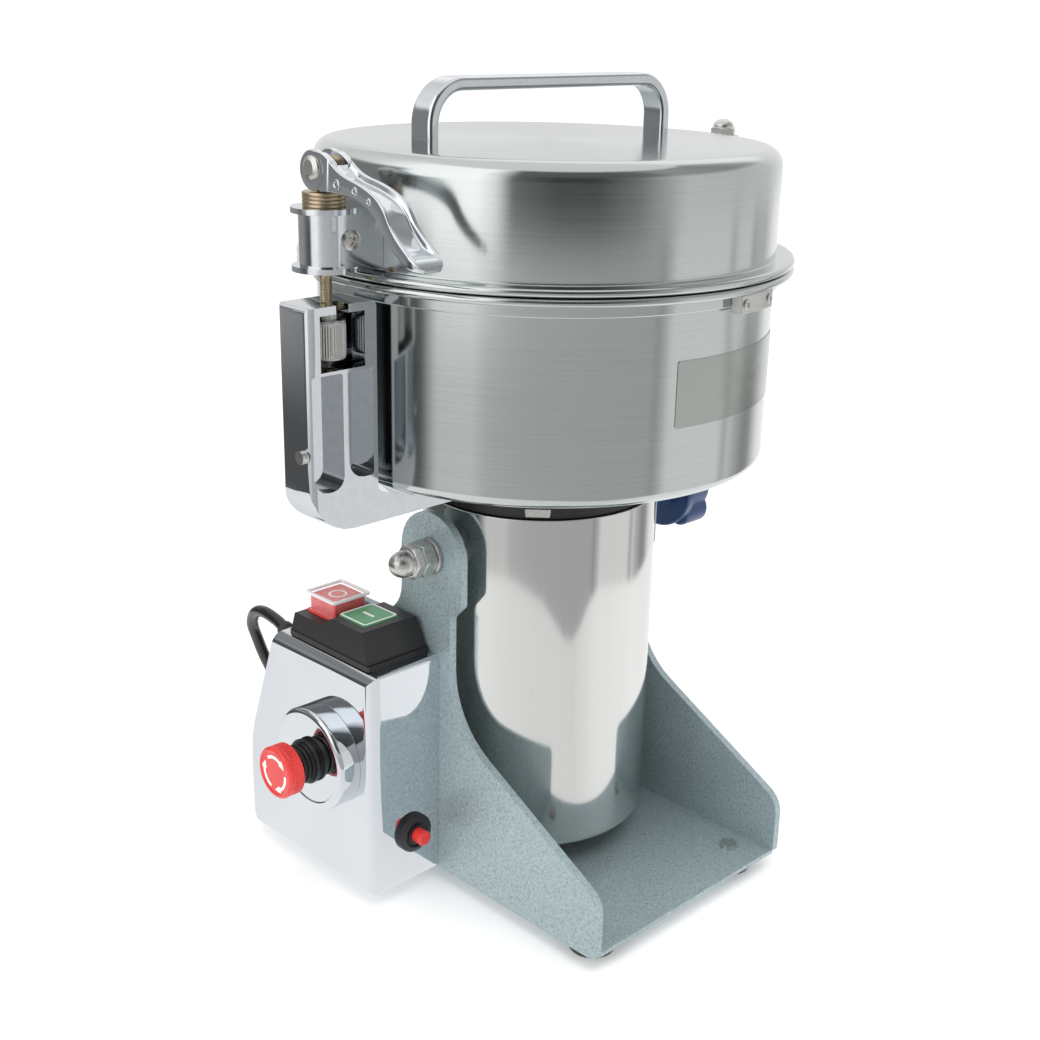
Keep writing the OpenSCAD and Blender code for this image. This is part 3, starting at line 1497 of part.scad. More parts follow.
module cam_lever() {
    tip = lever_tip_w / 2;
    eye = lever_w / 2;
    side = concat(lever_top, lever_under, [[3, -3, 0], [3, 3, 0]]);
    trough = concat(
        [for (i = [1 : 4]) [lever_top[i].x + 1.4, lever_top[i].y - 2.4, lever_top[i].z]],
        [[-lever_reach + 7, -32.8, 3], [-lever_reach + 2, -20, 0], [-55, 10, 0], [-10, 10, 0]]
    );
    plan = [
        [-tip, -lever_reach - 0.5, 7], [tip, -lever_reach - 0.5, 7], [eye + 0.6, -22, 20], [eye, -10, 0],
        [eye, 12, 0], [-eye, 12, 0], [-eye, -10, 0], [-eye - 0.6, -22, 20]
    ];
    color([0.86, 0.87, 0.88])
    translate([-post_x, 0, pin_z]) difference() {
        union() {
            bar_x(-eye, eye, 0, -cam_off, cam_r);
            intersection() {
                slab_x(-tip, tip) polygon(outline(side, 5));
                slab_z(-45, 20) polygon(outline(plan, 5));
            }
        }
        intersection() {
            slab_x(-tip, tip) polygon(outline(trough, 4));
            slab_z(-45, 20) polygon(outline(inset(plan, lever_rail), 5));
        }
        translate([-lever_slot / 2, -eye_r - 5.5, -cam_r * 2]) cube([lever_slot, eye_r + 30, cam_r * 4]);
        bar_x(-lever_w, lever_w, 0, 0, pin_r + run_fit);
        for (d = lever_dimples) bar_x(-tip - 1, -lever_half(d.x) + dimple_d, d.x, d.y, d.z);
    }
}

base_frame();
rubber_feet();
frame_screws();
control_box();
switch_housing();
contact_blocks();
estop_collar();
estop_neck();
breaker();
cord_gland();
mains_cord();
cord_coil();
cord_tie();
mains_plug();
start_button();
stop_button();
stop_cap();
estop_stem();
estop_head();
reset_button();
motor_housing();
motor_base();
motor_flange();
trunnions();
pivot_washers();
pivot_nuts();
bowl();
rim_block();
clamp_arm();
hinge_arm();
arm_screws();
hinge_post();
hinge_spring();
hinge_cap();
field_core();
field_coils();
brush_holders();
bearings();
shaft_seal();
motor_shaft();
armature();
commutator();
cooling_fan();
lower_blade();
upper_blade();
blade_spacers();
blade_nut();
lid();
lid_gasket();
handle();
clamp_lug();
hinge_lug();
lug_screws();
lug_washers();
pull_rod();
lever_pin();
clamp_nut();
cam_lever();
tilt_knob();
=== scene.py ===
"""Looks of an electric spice grinder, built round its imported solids.

Sizes are in millimetres in the functions below and become metres in the mesh. The frame is the part's
own: X along the tilt axis, -Y the pouring side, +Z up, with the origin on the ground.
"""

import json
import math

import bmesh
import bpy
import numpy as np
from mathutils import Matrix

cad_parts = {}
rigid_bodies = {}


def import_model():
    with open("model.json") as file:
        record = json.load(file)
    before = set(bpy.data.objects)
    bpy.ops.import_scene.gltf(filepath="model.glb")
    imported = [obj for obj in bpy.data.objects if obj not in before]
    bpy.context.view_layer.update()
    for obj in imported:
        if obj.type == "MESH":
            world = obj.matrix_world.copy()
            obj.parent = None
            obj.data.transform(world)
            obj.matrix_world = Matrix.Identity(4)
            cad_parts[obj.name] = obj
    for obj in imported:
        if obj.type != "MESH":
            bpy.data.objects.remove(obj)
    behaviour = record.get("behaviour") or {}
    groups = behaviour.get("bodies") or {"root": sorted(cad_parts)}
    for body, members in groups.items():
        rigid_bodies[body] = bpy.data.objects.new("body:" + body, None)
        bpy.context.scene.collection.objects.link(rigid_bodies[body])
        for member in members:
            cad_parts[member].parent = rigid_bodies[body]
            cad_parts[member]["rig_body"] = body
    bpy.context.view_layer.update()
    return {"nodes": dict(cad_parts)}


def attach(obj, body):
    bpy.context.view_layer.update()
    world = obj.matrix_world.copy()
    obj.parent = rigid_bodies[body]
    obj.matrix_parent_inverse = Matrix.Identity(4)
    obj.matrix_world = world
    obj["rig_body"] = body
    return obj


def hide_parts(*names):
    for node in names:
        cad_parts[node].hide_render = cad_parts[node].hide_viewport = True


bl_info = {
    "name": "Spice grinder looks",
    "version": (1, 0, 0),
    "blender": (4, 5, 0),
    "location": "3D View > Sidebar > Spice grinder",
    "description": "Surfaces and finishes of an electric spice grinder",
    "category": "Object",
}

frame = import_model()
MM = 0.001
TAU = 2 * math.pi
X, Y, Z = np.eye(3)

# ---- Sizes in millimetres that several pieces share, the same as in the part's source

BOWL_R, BEAD_R, MOTOR_R = 120.0, 130.0, 65.0
ARM_X = 144.5  # clamp rod on the left, hinge post on the right
PIN_Z = 401.0  # pin of the cam lever, and foot of the hinge cap
PIVOT_Y, PIVOT_Z = 3.0, 196.0
STOP_Y, STOP_Z = 34.5, 84.0  # axis of the emergency stop
SWITCH_X = -99.55
FEET = [(x, y) for x in (-58, 58) for y in (-104.9, 91.0)]


# ---- Values a user would change

def colour(name, text, value):
    return bpy.props.FloatVectorProperty(
        name=name, description=text, subtype="COLOR", size=3, default=value, min=0, max=1)


def number(name, text, value, low, high, unit="NONE"):
    return bpy.props.FloatProperty(
        name=name, description=text, default=value, min=low, max=high, unit=unit, precision=4)


def count(name, text, value, low, high):
    return bpy.props.IntProperty(name=name, description=text, default=value, min=low, max=high)


class GrinderMetals(bpy.types.PropertyGroup):
    """Colours and grain of the metal and painted surfaces"""

    paint: colour("Hammertone", "Colour of the base's paint", (0.325, 0.405, 0.425))
    paint_grain: number("Paint grain", "Size of a speck in the paint", 0.0013, 0.0004, 0.004, "LENGTH")
    chrome: colour("Chrome", "Colour of the chromed sheet and castings", (0.67, 0.70, 0.73))
    brushed: colour("Brushed steel", "Colour of the bowl and the lid", (0.57, 0.60, 0.592))
    brush_line: number("Brush line", "Width of a line on bowl and lid", 0.0004, 0.0001, 0.002, "LENGTH")


class GrinderPlastics(bpy.types.PropertyGroup):
    """Colours of the plastic"""

    red: colour("Red", "Colour of the stop button, emergency stop and reset", (0.68, 0.035, 0.03))
    green: colour("Green", "Colour of the start button", (0.06, 0.30, 0.12))
    blue: colour("Blue", "Colour of the tilt knob", (0.012, 0.045, 0.15))
    black: colour("Black", "Colour of the black plastic", (0.012, 0.012, 0.013))


class GrinderDetails(bpy.types.PropertyGroup):
    """Counts and small sizes of the details that the solids leave out"""

    head_ribs: count("Head ribs", "Grip ribs round the emergency stop's head", 36, 12, 60)
    nut_ribs: count("Nut ribs", "Knurl ribs round the barrel nut", 44, 16, 80)
    thread_pitch: number("Thread pitch", "Pitch of the rod's thread", 0.001, 0.0005, 0.002, "LENGTH")
    cord_sides: count("Cord sides", "Faces round the mains lead", 20, 8, 48)


class GrinderStage(bpy.types.PropertyGroup):
    """Floor, backdrop and light"""

    floor: colour("Floor", "Colour of the floor", (0.9, 0.9, 0.9))
    floor_glow: number("Floor glow", "Light that the floor gives by itself", 0.16, 0, 1)
    sky: number("Sky", "Strength of the soft light from all round", 0.95, 0, 4)
    key: number("Key light", "Power of the large overhead light", 16, 0, 200, "POWER")


GROUPS = {
    GrinderMetals: "grinder_metals", GrinderPlastics: "grinder_plastics",
    GrinderDetails: "grinder_details", GrinderStage: "grinder_stage",
}


# ---- Wires: sums written on node sockets

class Wire:
    """One output of a node. Sums on wires add the Math nodes that work them out."""

    def __init__(self, finish, socket):
        self.finish, self.socket = finish, socket

    def of(self, operation, *others):
        return self.finish.node("Math", {"operation": operation}, dict(enumerate((self, *others))))

    def __add__(self, other):
        return self.of("ADD", other)

    __radd__ = __add__

    def __sub__(self, other):
        return self.of("SUBTRACT", other)

    def __mul__(self, other):
        return self.of("MULTIPLY", other)

    def __truediv__(self, other):
        return self.of("DIVIDE", other)

    def __pow__(self, other):
        return self.of("POWER", other)


class Finish:
    """A material, or the world, under construction. node() adds any node, the rest common ones."""

    def __init__(self, name, owner=None):
        self.owner = owner or bpy.data.materials.new("finish_" + name)
        self.owner.use_nodes = True
        self.tree = self.owner.node_tree
        self.tree.nodes.clear()

    def node(self, kind, settings=None, values=None, output=0):
        made = self.tree.nodes.new("ShaderNode" + kind)
        for key, value in (settings or {}).items():
            setattr(made, key, value)
        for key, value in (values or {}).items():
            socket = made.inputs[key]
            if isinstance(value, Wire):
                self.tree.links.new(value.socket, socket)
            elif socket.type == "RGBA":
                socket.default_value = (*value, 1.0)
            else:
                socket.default_value = value
        return Wire(self, made.outputs[output])

    def place(self):
        """Object coordinates, in metres."""
        return self.node("TexCoord", output=3)

    def parts(self, vector):
        """X, Y and Z of a vector."""
        return [Wire(self, out) for out in
                self.node("SeparateXYZ", None, {0: vector}).socket.node.outputs]

    def joined(self, x, y, z):
        return self.node("CombineXYZ", None, {0: x, 1: y, 2: z})

    def noise(self, vector, scale, detail=2.0, rough=0.5):
        values = {"Vector": vector, "Scale": scale, "Detail": detail, "Roughness": rough}
        return self.node("TexNoise", None, values)

    def ramp(self, value, stops):
        """Grey that changes in straight steps between (position, grey) stops."""
        made = self.node("ValToRGB", None, {0: value})
        elements = made.socket.node.color_ramp.elements
        while len(elements) < len(stops):
            elements.new(1.0)
        for element, (position, grey) in zip(elements, stops):
            element.position, element.color = position, (grey, grey, grey, 1.0)
        return made

    def mix(self, mask, first, second):
        return self.node("Mix", {"data_type": "RGBA"}, {0: mask, 6: tint(first), 7: tint(second)}, 2)

    def out(self, kind, shader):
        end = self.tree.nodes.new("ShaderNodeOutput" + kind)
        self.tree.links.new(shader.socket, end.inputs[0])
        return self.owner

    def done(self, base, rough, bump=None, **sockets):
        """Principled shader of a colour, a roughness, a bump (height, strength, depth) and other
        sockets set by name, an underscore standing for a space."""
        values = {key.replace("_", " "): value for key, value in sockets.items()}
        values |= {"Base Color": base, "Roughness": rough}
        if bump:
            height, strength, depth = bump
            bump = {"Strength": strength, "Distance": depth, "Height": height}
            values["Normal"] = self.node("Bump", None, bump)
        return self.out("Material", self.node("BsdfPrincipled", None, values))


def tint(value):
    """A wire or colour as it is, or the panel's colour of that name times a factor."""
    if isinstance(value, Wire) or not isinstance(value[0], str):
        return value
    name, factor = value
    group = next(at for group, at in GROUPS.items() if name in group.__annotations__)
    return tuple(min(1.0, c * factor) for c in getattr(getattr(bpy.context.scene, group), name))


# Finishes of one noise: its scale, detail and roughness, the two colours that it mixes, the surface's
# roughness and what the noise adds to it, the bump's strength and depth, and other sockets
ONE_NOISE = {
    # Plated fasteners: soft metal gloss with small dull spots
    "zinc": ((700, 3, 0.6), (0.50, 0.49, 0.47), (0.74, 0.73, 0.70), (0.20, 0.2), (0.08, 0.0001),
             {"Metallic": 1}),
    # Moulded plastic with a fine spark grain
    "black_plastic": ((1600, 3, 0.6), ("black", 0.7), ("black", 1.6), (0.34, 0.16), (0.18, 0.0001), {}),
    # Baked black paint over cast metal
    "black_paint": ((500, 2, 0.5), (0.006, 0.006, 0.007), (0.016, 0.016, 0.017), (0.35, 0.15),
                    (0.15, 0.0001), {}),
    # Dull rubber with a dusty bloom
    "black_rubber": ((300, 4, 0.6), (0.014, 0.014, 0.014), (0.05, 0.05, 0.05), (0.6, 0.2),
                     (0.15, 0.0001), {}),
    # Glossy black jacket, with the slight waves of the wires inside
    "cord_jacket": ((180, 2, 0.5), (0.005, 0.005, 0.006), (0.012, 0.012, 0.014), (0.16, 0.12),
                    (0.12, 0.0004), {"Coat_Weight": 0.3, "Coat_Roughness": 0.15}),
    # White print of the marks on the buttons
    "legend_white": ((1200, 2, 0.5), (0.80, 0.79, 0.77), (0.92, 0.91, 0.90), (0.35, 0.1), None, {}),
    # Yellow metal of the rod and the brush holders
    "brass": ((260, 4, 0.6), (0.42, 0.33, 0.21), (0.62, 0.52, 0.37), (0.22, 0.2), (0.06, 0.0001),
              {"Metallic": 1}),
    # Off-white seal rubber
    "silicone": ((250, 3, 0.5), (0.62, 0.60, 0.54), (0.72, 0.70, 0.65), (0.45, 0.1), None,
                 {"Subsurface_Weight": 0.1, "Subsurface_Radius": (0.004, 0.003, 0.002)}),
}


def one_noise(f, noise, first, second, rough, bump, more):
    grain = f.noise(f.place(), *noise)
    return f.done(f.mix(grain, first, second), rough[0] + grain * rough[1],
                  bump and (grain, *bump), **more)


def hammertone(f):
    """Metallic paint: specks of two sizes in tone, and the low dimples of a hammered coat."""
    place, scale = f.place(), 1 / bpy.context.scene.grinder_metals.paint_grain
    fine, broad = f.noise(place, scale, 3, 0.6), f.noise(place, 6)
    specks = f.ramp(fine, [(0.34, 0.0), (0.46, 0.45), (0.58, 0.60), (0.72, 1.0)])
    tone = f.mix(specks, ("paint", 0.62), ("paint", 1.35))
    cells = f.node("TexVoronoi", {"feature": "F1"}, {"Vector": place, "Scale": scale * 0.5})
    height = f.noise(place, scale * 0.6) + cells * 0.4
    return f.done(f.mix(broad * 0.35, tone, ("paint", 1.2)), 0.30 + fine * 0.2, (height, 0.28, 0.0002),
                  Metallic=0.35, Coat_Weight=0.25, Coat_Roughness=0.25)


def chrome(f):
    """Chromed sheet: a mirror with faint swells and wiped smears."""
    smear, swell = f.noise(f.place(), 22, 4, 0.6), f.noise(f.place(), 14, 1)
    return f.done(f.mix(smear, ("chrome", 0.94), ("chrome", 1.06)), 0.02 + smear * 0.05,
                  (swell, 0.05, 0.004), Metallic=1)


def cast_chrome(f):
    """Chromed casting: the mirror over slightly uneven cast metal."""
    skin, wear = f.noise(f.place(), 70, 3, 0.55), f.noise(f.place(), 240, 3)
    return f.done(f.mix(wear, ("chrome", 0.9), ("chrome", 1.05)), 0.03 + wear * 0.06,
                  (skin, 0.05, 0.0006), Metallic=1)


def polished_steel(f):
    """Polished tube: a mirror with faint upright polishing lines."""
    x, y, z = f.parts(f.place())
    lines = f.noise(f.joined(x * 900, y * 900, z * 6), 1, 3, 0.6)
    smear = f.noise(f.place(), 16, 3)
    return f.done(f.mix(lines, (0.635, 0.645, 0.63), (0.675, 0.685, 0.67)),
                  0.05 + lines * 0.05 + smear * 0.03, (lines, 0.03, 0.0001), Metallic=1)


def brushed_steel(f):
    """Steel brushed round the axis: lines that are long along the turn and fine across it."""
    x, y, z = f.parts(f.place())
    across = (z - (x * x + y * y) ** 0.5) / bpy.context.scene.grinder_metals.brush_line
    lines = f.noise(f.joined(x * 14, y * 14, across), 1, 4, 0.65)
    patch = f.noise(f.joined(x * 9, y * 9, z * 9), 1, 3)
    return f.done(f.mix(lines, ("brushed", 0.88), ("brushed", 1.10)),
                  0.09 + lines * 0.07 + patch * 0.03, (lines, 0.05, 0.0001), Metallic=1,
                  Anisotropic=0.6, Anisotropic_Rotation=0.25)


def clear_plastic(f):
    """Clear cap: a thin glossy white veil with handling marks, whose whiteness grows where it is seen
    edge on as a painted sheen.
    """
    marks = f.noise(f.place(), 400, 3)
    # Painted sheen: the white veil grows more opaque where the cap is seen edge on
    edge = f.node("LayerWeight", None, {"Blend": 0.35}, 1)
    return f.done(f.mix(marks, (0.90, 0.88, 0.88), (0.97, 0.95, 0.95)), 0.04 + marks * 0.04,
                  (marks, 0.02, 0.0001), IOR=1.45, Alpha=0.03 + edge * 0.14, Coat_Weight=0.6,
                  Coat_Roughness=0.02)


def clear_edge(f):
    """Thick edge of the clear cap: a pale, nearly opaque band, a painted highlight for the light that
    the edge gathers.
    """
    marks = f.noise(f.place(), 300, 3)
    return f.done(f.mix(marks, (0.86, 0.86, 0.87), (0.97, 0.97, 0.98)), 0.08 + marks * 0.06,
                  Alpha=0.62 + marks * 0.1, Coat_Weight=0.6, Coat_Roughness=0.03)


def label_foil(f):
    """Bare label plate: thin matt foil."""
    grain, cloud = f.noise(f.place(), 900, 3), f.noise(f.place(), 40)
    return f.done(f.mix(cloud, (0.36, 0.385, 0.36), (0.40, 0.425, 0.40)), 0.13 + grain * 0.06,
                  (grain, 0.05, 0.0001), Metallic=0.92)


def lamination(f):
    """Stacked core sheets: dark steel with a line for every sheet."""
    sheet = (f.parts(f.place())[2] * 2000).of("FRACT")
    rust = f.noise(f.place(), 160, 3)
    return f.done(f.mix(rust, (0.16, 0.155, 0.15), (0.30, 0.28, 0.26)), 0.35 + sheet * 0.2,
                  (sheet.of("GREATER_THAN", 0.2), 0.3, 0.0001), Metallic=0.8)


def copper(f):
    """Enamelled winding wire: copper with the wave of the turns."""
    x, _, z = f.parts(f.place())
    turns = ((z + x * 0.1) * 7000).of("SINE")
    cloud = f.noise(f.place(), 200)
    return f.done(f.mix(cloud, (0.45, 0.14, 0.05), (0.72, 0.27, 0.10)), 0.25 + cloud * 0.15,
                  (turns, 0.5, 0.0002), Metallic=0.9)


def blade_steel(f):
    """Ground knife steel, with the grinding lines along the blade."""
    x, y, z = f.parts(f.place())
    ground = f.noise(f.joined(x * 60, y * 60, z * 2500), 1, 3)
    return f.done(f.mix(ground, (0.52, 0.52, 0.52), (0.72, 0.72, 0.72)), 0.2 + ground * 0.15,
                  (ground, 0.06, 0.0001), Metallic=1)


def moulded(f, hue, gloss):
    """Coloured moulded plastic: slight flow clouds and a fine skin."""
    cloud, skin = f.noise(f.place(), 120, 3), f.noise(f.place(), 1500)
    return f.done(f.mix(cloud, (hue, 0.86), (hue, 1.12)), gloss + skin * 0.1, (skin, 0.08, 0.0001),
                  Coat_Weight=0.2, Coat_Roughness=0.12)


MOULDED_GLOSS = {"red_plastic": 0.22, "green_plastic": 0.28, "blue_plastic": 0.3}
MAKERS = {make.__name__: make for make in (
    hammertone, chrome, cast_chrome, polished_steel, brushed_steel, clear_plastic, clear_edge,
    label_foil, lamination, copper, blade_steel)}
MADE = {}


def finish_of(name):
    """The material of that name, made when it is first asked for."""
    if name not in MADE:
        f = Finish(name)
        if name in ONE_NOISE:
            MADE[name] = one_noise(f, *ONE_NOISE[name])
        elif name in MOULDED_GLOSS:
            MADE[name] = moulded(f, name.split("_")[0], MOULDED_GLOSS[name])
        else:
            MADE[name] = MAKERS[name](f)
    return MADE[name]


# ---- Shapes

def angles(sides):
    """Equal steps of one turn."""
    return np.linspace(0, TAU, sides, endpoint=False)


def circle(sides):
    """Points of a unit circle."""
    return np.stack([np.cos(angles(sides)), np.sin(angles(sides))], 1)


def rounded(points, steps=6):
    """Outline of (x, y, radius) points, or (x, y) sharp ones: a corner is an arc that touches
    both sides."""
    corners, out = [np.array(p[:2], float) for p in points], []
    for i, (b, p) in enumerate(zip(corners, points)):
        radius = p[2] if len(p) > 2 else 0
        if radius <= 0:
            out.append(b[None])
            continue
        a, c = corners[i - 1], corners[(i + 1) % len(points)]
        u, v = (a - b) / np.linalg.norm(a - b), (c - b) / np.linalg.norm(c - b)
        half = math.acos(max(-1.0, min(1.0, float(u @ v)))) / 2
        centre = b + (u + v) / np.linalg.norm(u + v) * radius / math.sin(half)
        first = b + u * radius / math.tan(half) - centre
        last = b + v * radius / math.tan(half) - centre
        side = 1 if first[0] * last[1] - first[1] * last[0] > 0 else -1
        sweep = side * (math.pi - 2 * half) * np.linspace(0, 1, steps + 1)
        turn = math.atan2(first[1], first[0]) + sweep
        out.append(centre + radius * np.stack([np.cos(turn), np.sin(turn)], 1))
    return np.concatenate(out)


def box(x0, y0, x1, y1, radius, steps=6):
    """Rounded rectangle between two corners."""
    return rounded([(x0, y0, radius), (x1, y0, radius), (x1, y1, radius), (x0, y1, radius)], steps)


def dense(section, step):
    """Outline with extra points, so that no side is longer than step."""
    out = []
    for a, b in zip(section, np.roll(section, -1, 0)):
        n = max(1, int(math.ceil(np.linalg.norm(b - a) / step)))
        out.append(a + (b - a) * np.linspace(0, 1, n, endpoint=False)[:, None])
    return np.concatenate(out)


def axes(along, aside=Z):
    """Three unit vectors as rows, the third along the given direction."""
    z = np.array(along, float) / np.linalg.norm(along)
    x = np.array(aside, float) - z * (np.array(aside, float) @ z)
    if np.linalg.norm(x) < 1e-6:
        x = X - z * z[0]
    x /= np.linalg.norm(x)
    return np.stack([x, np.cross(z, x), z])


def paired(r, z):
    """Sections (sides, n, 2) of radii and heights, where one of them may be the same at all angles."""
    return np.stack(np.broadcast_arrays(r, z), -1)


def joined(sides, *parts):
    """Sections (sides, n, 2) of parts in a row: (r, z) points, or a section for each angle."""
    return np.concatenate([np.broadcast_to(p, (sides, *np.shape(p)[-2:])) for p in parts], 1)


def spin(section, sides=96, along=Z, centre=(0, 0, 0), aside=Z):
    """Section (r, z) turned round an axis: a point is r·cos(a), r·sin(a), z in the axis's own frame.
    A section of shape (sides, n, 2) may differ at each angle."""
    section = joined(sides, section)
    r, z, angle = section[..., 0], section[..., 1], angles(sides)[:, None]
    local = np.stack([r * np.cos(angle), r * np.sin(angle), z], -1)
    return local @ axes(along, aside) + np.array(centre, float)


def turned(section, sides=96, along=Z, centre=(0, 0, 0), aside=Z, ring=True):
    """Shell of a turned section, which is a closed ring, or else starts and ends on the axis."""
    return spin(section, sides, along, centre, aside), True, ring


def capped(rows):
    """Rows of a closed section with each end drawn together in its middle."""
    first, last = (np.broadcast_to(row.mean(0), row.shape) for row in (rows[0], rows[-1]))
    return np.concatenate([first[None], rows, last[None]])


def carried(section, path, side, up):
    """Shell of a closed section (x, y), or one for each path point, carried along a path: a
    point is path + x·side + y·up."""
    side, up = (np.broadcast_to(v, path.shape)[:, None] for v in (side, up))
    flat = np.broadcast_to(section, (len(path), *np.shape(section)[-2:]))
    return capped(path[:, None] + flat[..., :1] * side + flat[..., 1:] * up), False, True


def smooth_path(points, each=6):
    """Curve through all given points (Catmull-Rom), with each points to a span."""
    p = np.asarray(points, float)
    p = np.concatenate([2 * p[:1] - p[1:2], p, 2 * p[-1:] - p[-2:-1]])
    t = np.linspace(0, 1, each, endpoint=False)[:, None]
    spans = [0.5 * (2 * b + (c - a) * t + (2 * a - 5 * b + 4 * c - d) * t ** 2
                    + (3 * b - a - 3 * c + d) * t ** 3)
             for a, b, c, d in zip(p[:-3], p[1:-2], p[2:-1], p[3:])]
    return np.concatenate([*spans, p[-2:-1]])


def corner_cut(points, times=4):
    """Smooth line from corner points: each step cuts the sides at a quarter and three quarters."""
    points = np.array(points, float)
    for _ in range(times):
        near, far = points[:-1] * 0.75 + points[1:] * 0.25, points[:-1] * 0.25 + points[1:] * 0.75
        points = np.concatenate([points[:1], np.stack([near, far], 1).reshape(-1, 2), points[-1:]])
    return points


def at_shares(line, share):
    """Points of a line at shares of its length."""
    gone = np.concatenate([[0], np.cumsum(np.linalg.norm(np.diff(line, axis=0), axis=1))])
    return np.column_stack([np.interp(share * gone[-1], gone, line[:, k]) for k in range(2)])


def travel(path):
    """Unit direction of a path at each of its points."""
    step = np.gradient(path, axis=0)
    return step / np.linalg.norm(step, axis=1, keepdims=True)


def grid_faces(rows, columns, wrap_rows, wrap_columns):
    """Quads between neighbours of a grid of points, numbered row by row."""
    r = np.arange(rows if wrap_rows else rows - 1)[:, None]
    c = np.arange(columns if wrap_columns else columns - 1)[None]
    r2, c2 = (r + 1) % rows * columns, (c + 1) % columns
    corners = np.broadcast_arrays(r * columns + c, r2 + c, r2 + c2, r * columns + c2)
    return np.stack(corners, -1).reshape(-1, 4)


def enclosed(points, quads):
    """Six times the volume inside a closed set of quads, negative where they face inwards."""
    a, b, c, d = (points[quads[:, k]] for k in range(4))
    return float((a * np.cross(b, c)).sum() + (a * np.cross(c, d)).sum())


def ring_between(outer, inner, low, high):
    """Shell of a flat ring between two outlines of as many points, from height low to high."""
    rows = [(inner, low), (outer, low), (outer, high), (inner, high)]
    return np.stack([lay_flat(flat, z) for flat, z in rows]), True, True


def lay_flat(flat, z):
    return np.column_stack([flat, np.full(len(flat), z)])


def plate(outline, low, high, lift=lay_flat, ease=0.0):
    """Shell of a slab that is closed to its middle on both faces, its edges eased inwards. lift maps
    outline points and a height to space."""
    middle = outline.mean(0)
    small = middle + (outline - middle) * (1 - ease / np.abs(outline - middle).max())
    point = np.broadcast_to(middle, outline.shape)
    rows = [(point, low), (small, low), (outline, low + ease), (outline, high - ease), (small, high),
            (point, high)]
    return np.stack([lift(flat, z) for flat, z in rows]), False, True


def dome(radius, low, rise, steps=14):
    """Quarter of an ellipse (r, z) that ends on the axis."""
    quarter = np.linspace(0, math.pi / 2, steps)
    return np.stack([radius * np.cos(quarter), low + rise * np.sin(quarter)], 1)


HEAD_STEPS = np.array([0, 0.04, 0.08, 0.12, 0.16, 0.2, 0.25, 0.3, 0.36, 0.42, 0.48, 0.54, 0.6, 0.68,
                       0.78, 0.88, 0.95, 0.99, 1.0])


def screw_head(centre, along, radius, height, turn=0.3):
    """Pan head: dome height(r) = height·(1 - 0.45·(r / radius)^4), less a cross slot, which is
    two bars with soft walls and a floor that rises towards their ends."""
    angle, r = angles(64)[:, None], radius * HEAD_STEPS
    width, reach = 0.14 * radius, 0.62 * radius
    bar = np.minimum(np.abs(r * np.cos(angle + turn)), np.abs(r * np.sin(angle + turn)))
    slot = np.clip((width - bar) / (0.35 * width), 0, 1) * np.clip((reach - r) / (0.35 * reach), 0, 1)
    z = height * (1 - 0.45 * (r / radius) ** 4) - 0.55 * height * slot
    return turned(joined(64, paired(r, z), [(radius, 0), (0, 0)]), 64, along, centre, ring=False)


def hex_rows(flats, low, high, sides):
    """Sections of a hexagon bar, flats wide, whose corners are turned off at both ends."""
    angle = angles(sides)[:, None]
    z = np.concatenate([np.linspace(low, low + 1.2, 6), np.linspace(high - 1.2, high, 6)])
    side = flats / 2 / np.cos((angle + math.pi / 6) % (math.pi / 3) - math.pi / 6)
    return paired(np.minimum(side, flats * 0.475 + np.minimum(z - low, high - z) * 1.73), z)


# ---- Objects

SLOTS = {"cast_chrome": "chrome", "legend_white": None, "clear_edge": None, "label_foil": None}


def body_with(node):
    """Body that a CAD node rides on."""
    return frame["nodes"][node]["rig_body"]


def placed(name, mesh, finish, nodes, body, slot, sharp):
    """Object of a mesh with its finish, on its body, standing for the CAD nodes that it replaces."""
    mesh.polygons.foreach_set("use_smooth", np.ones(len(mesh.polygons), bool))
    mesh.set_sharp_from_angle(angle=math.radians(sharp))
    made = bpy.data.objects.new(name, mesh)
    bpy.context.scene.collection.objects.link(made)
    mesh.materials.append(finish_of(finish))
    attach(made, body or body_with(nodes[0]))
    slot = slot or SLOTS.get(finish, finish)
    if nodes:
        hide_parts(*nodes)
    return made


def piece(name, shells, finish, nodes=(), body=None, slot=None, sharp=32):
    """One object from closed shells, each (points, wrap_rows, wrap_columns). Rows that fall together in
    a point are merged, faces are turned outwards and edges sharper than sharp degrees stay crisp. It is
    on the body of the first node it replaces, or on the one given. The slot it is given is not used."""
    points, faces, start = [], [], 0
    for grid, *wraps in shells:
        flat, quads = grid.reshape(-1, 3), grid_faces(*grid.shape[:2], *wraps)
        if enclosed(flat - flat.mean(0), quads) < 0:
            quads = quads[:, ::-1]
        points.append(flat)
        faces.append(quads + start)
        start += len(flat)
    mesh = bpy.data.meshes.new(name)
    mesh.from_pydata((np.concatenate(points) * MM).tolist(), [], np.concatenate(faces).tolist())
    clean = bmesh.new()
    clean.from_mesh(mesh)
    bmesh.ops.remove_doubles(clean, verts=clean.verts, dist=2e-7)
    bmesh.ops.dissolve_degenerate(clean, edges=clean.edges, dist=1e-8)
    clean.to_mesh(mesh)
    clean.free()
    return placed(name, mesh, finish, nodes, body, slot, sharp)


def dress(finish, *nodes):
    """CAD nodes that are shown as they are get a finish."""
    for node in nodes:
        shown, made = frame["nodes"][node], finish_of(finish)
        if not shown.material_slots:
            shown.data.materials.append(made)
        for material_slot in shown.material_slots:
            material_slot.material = made


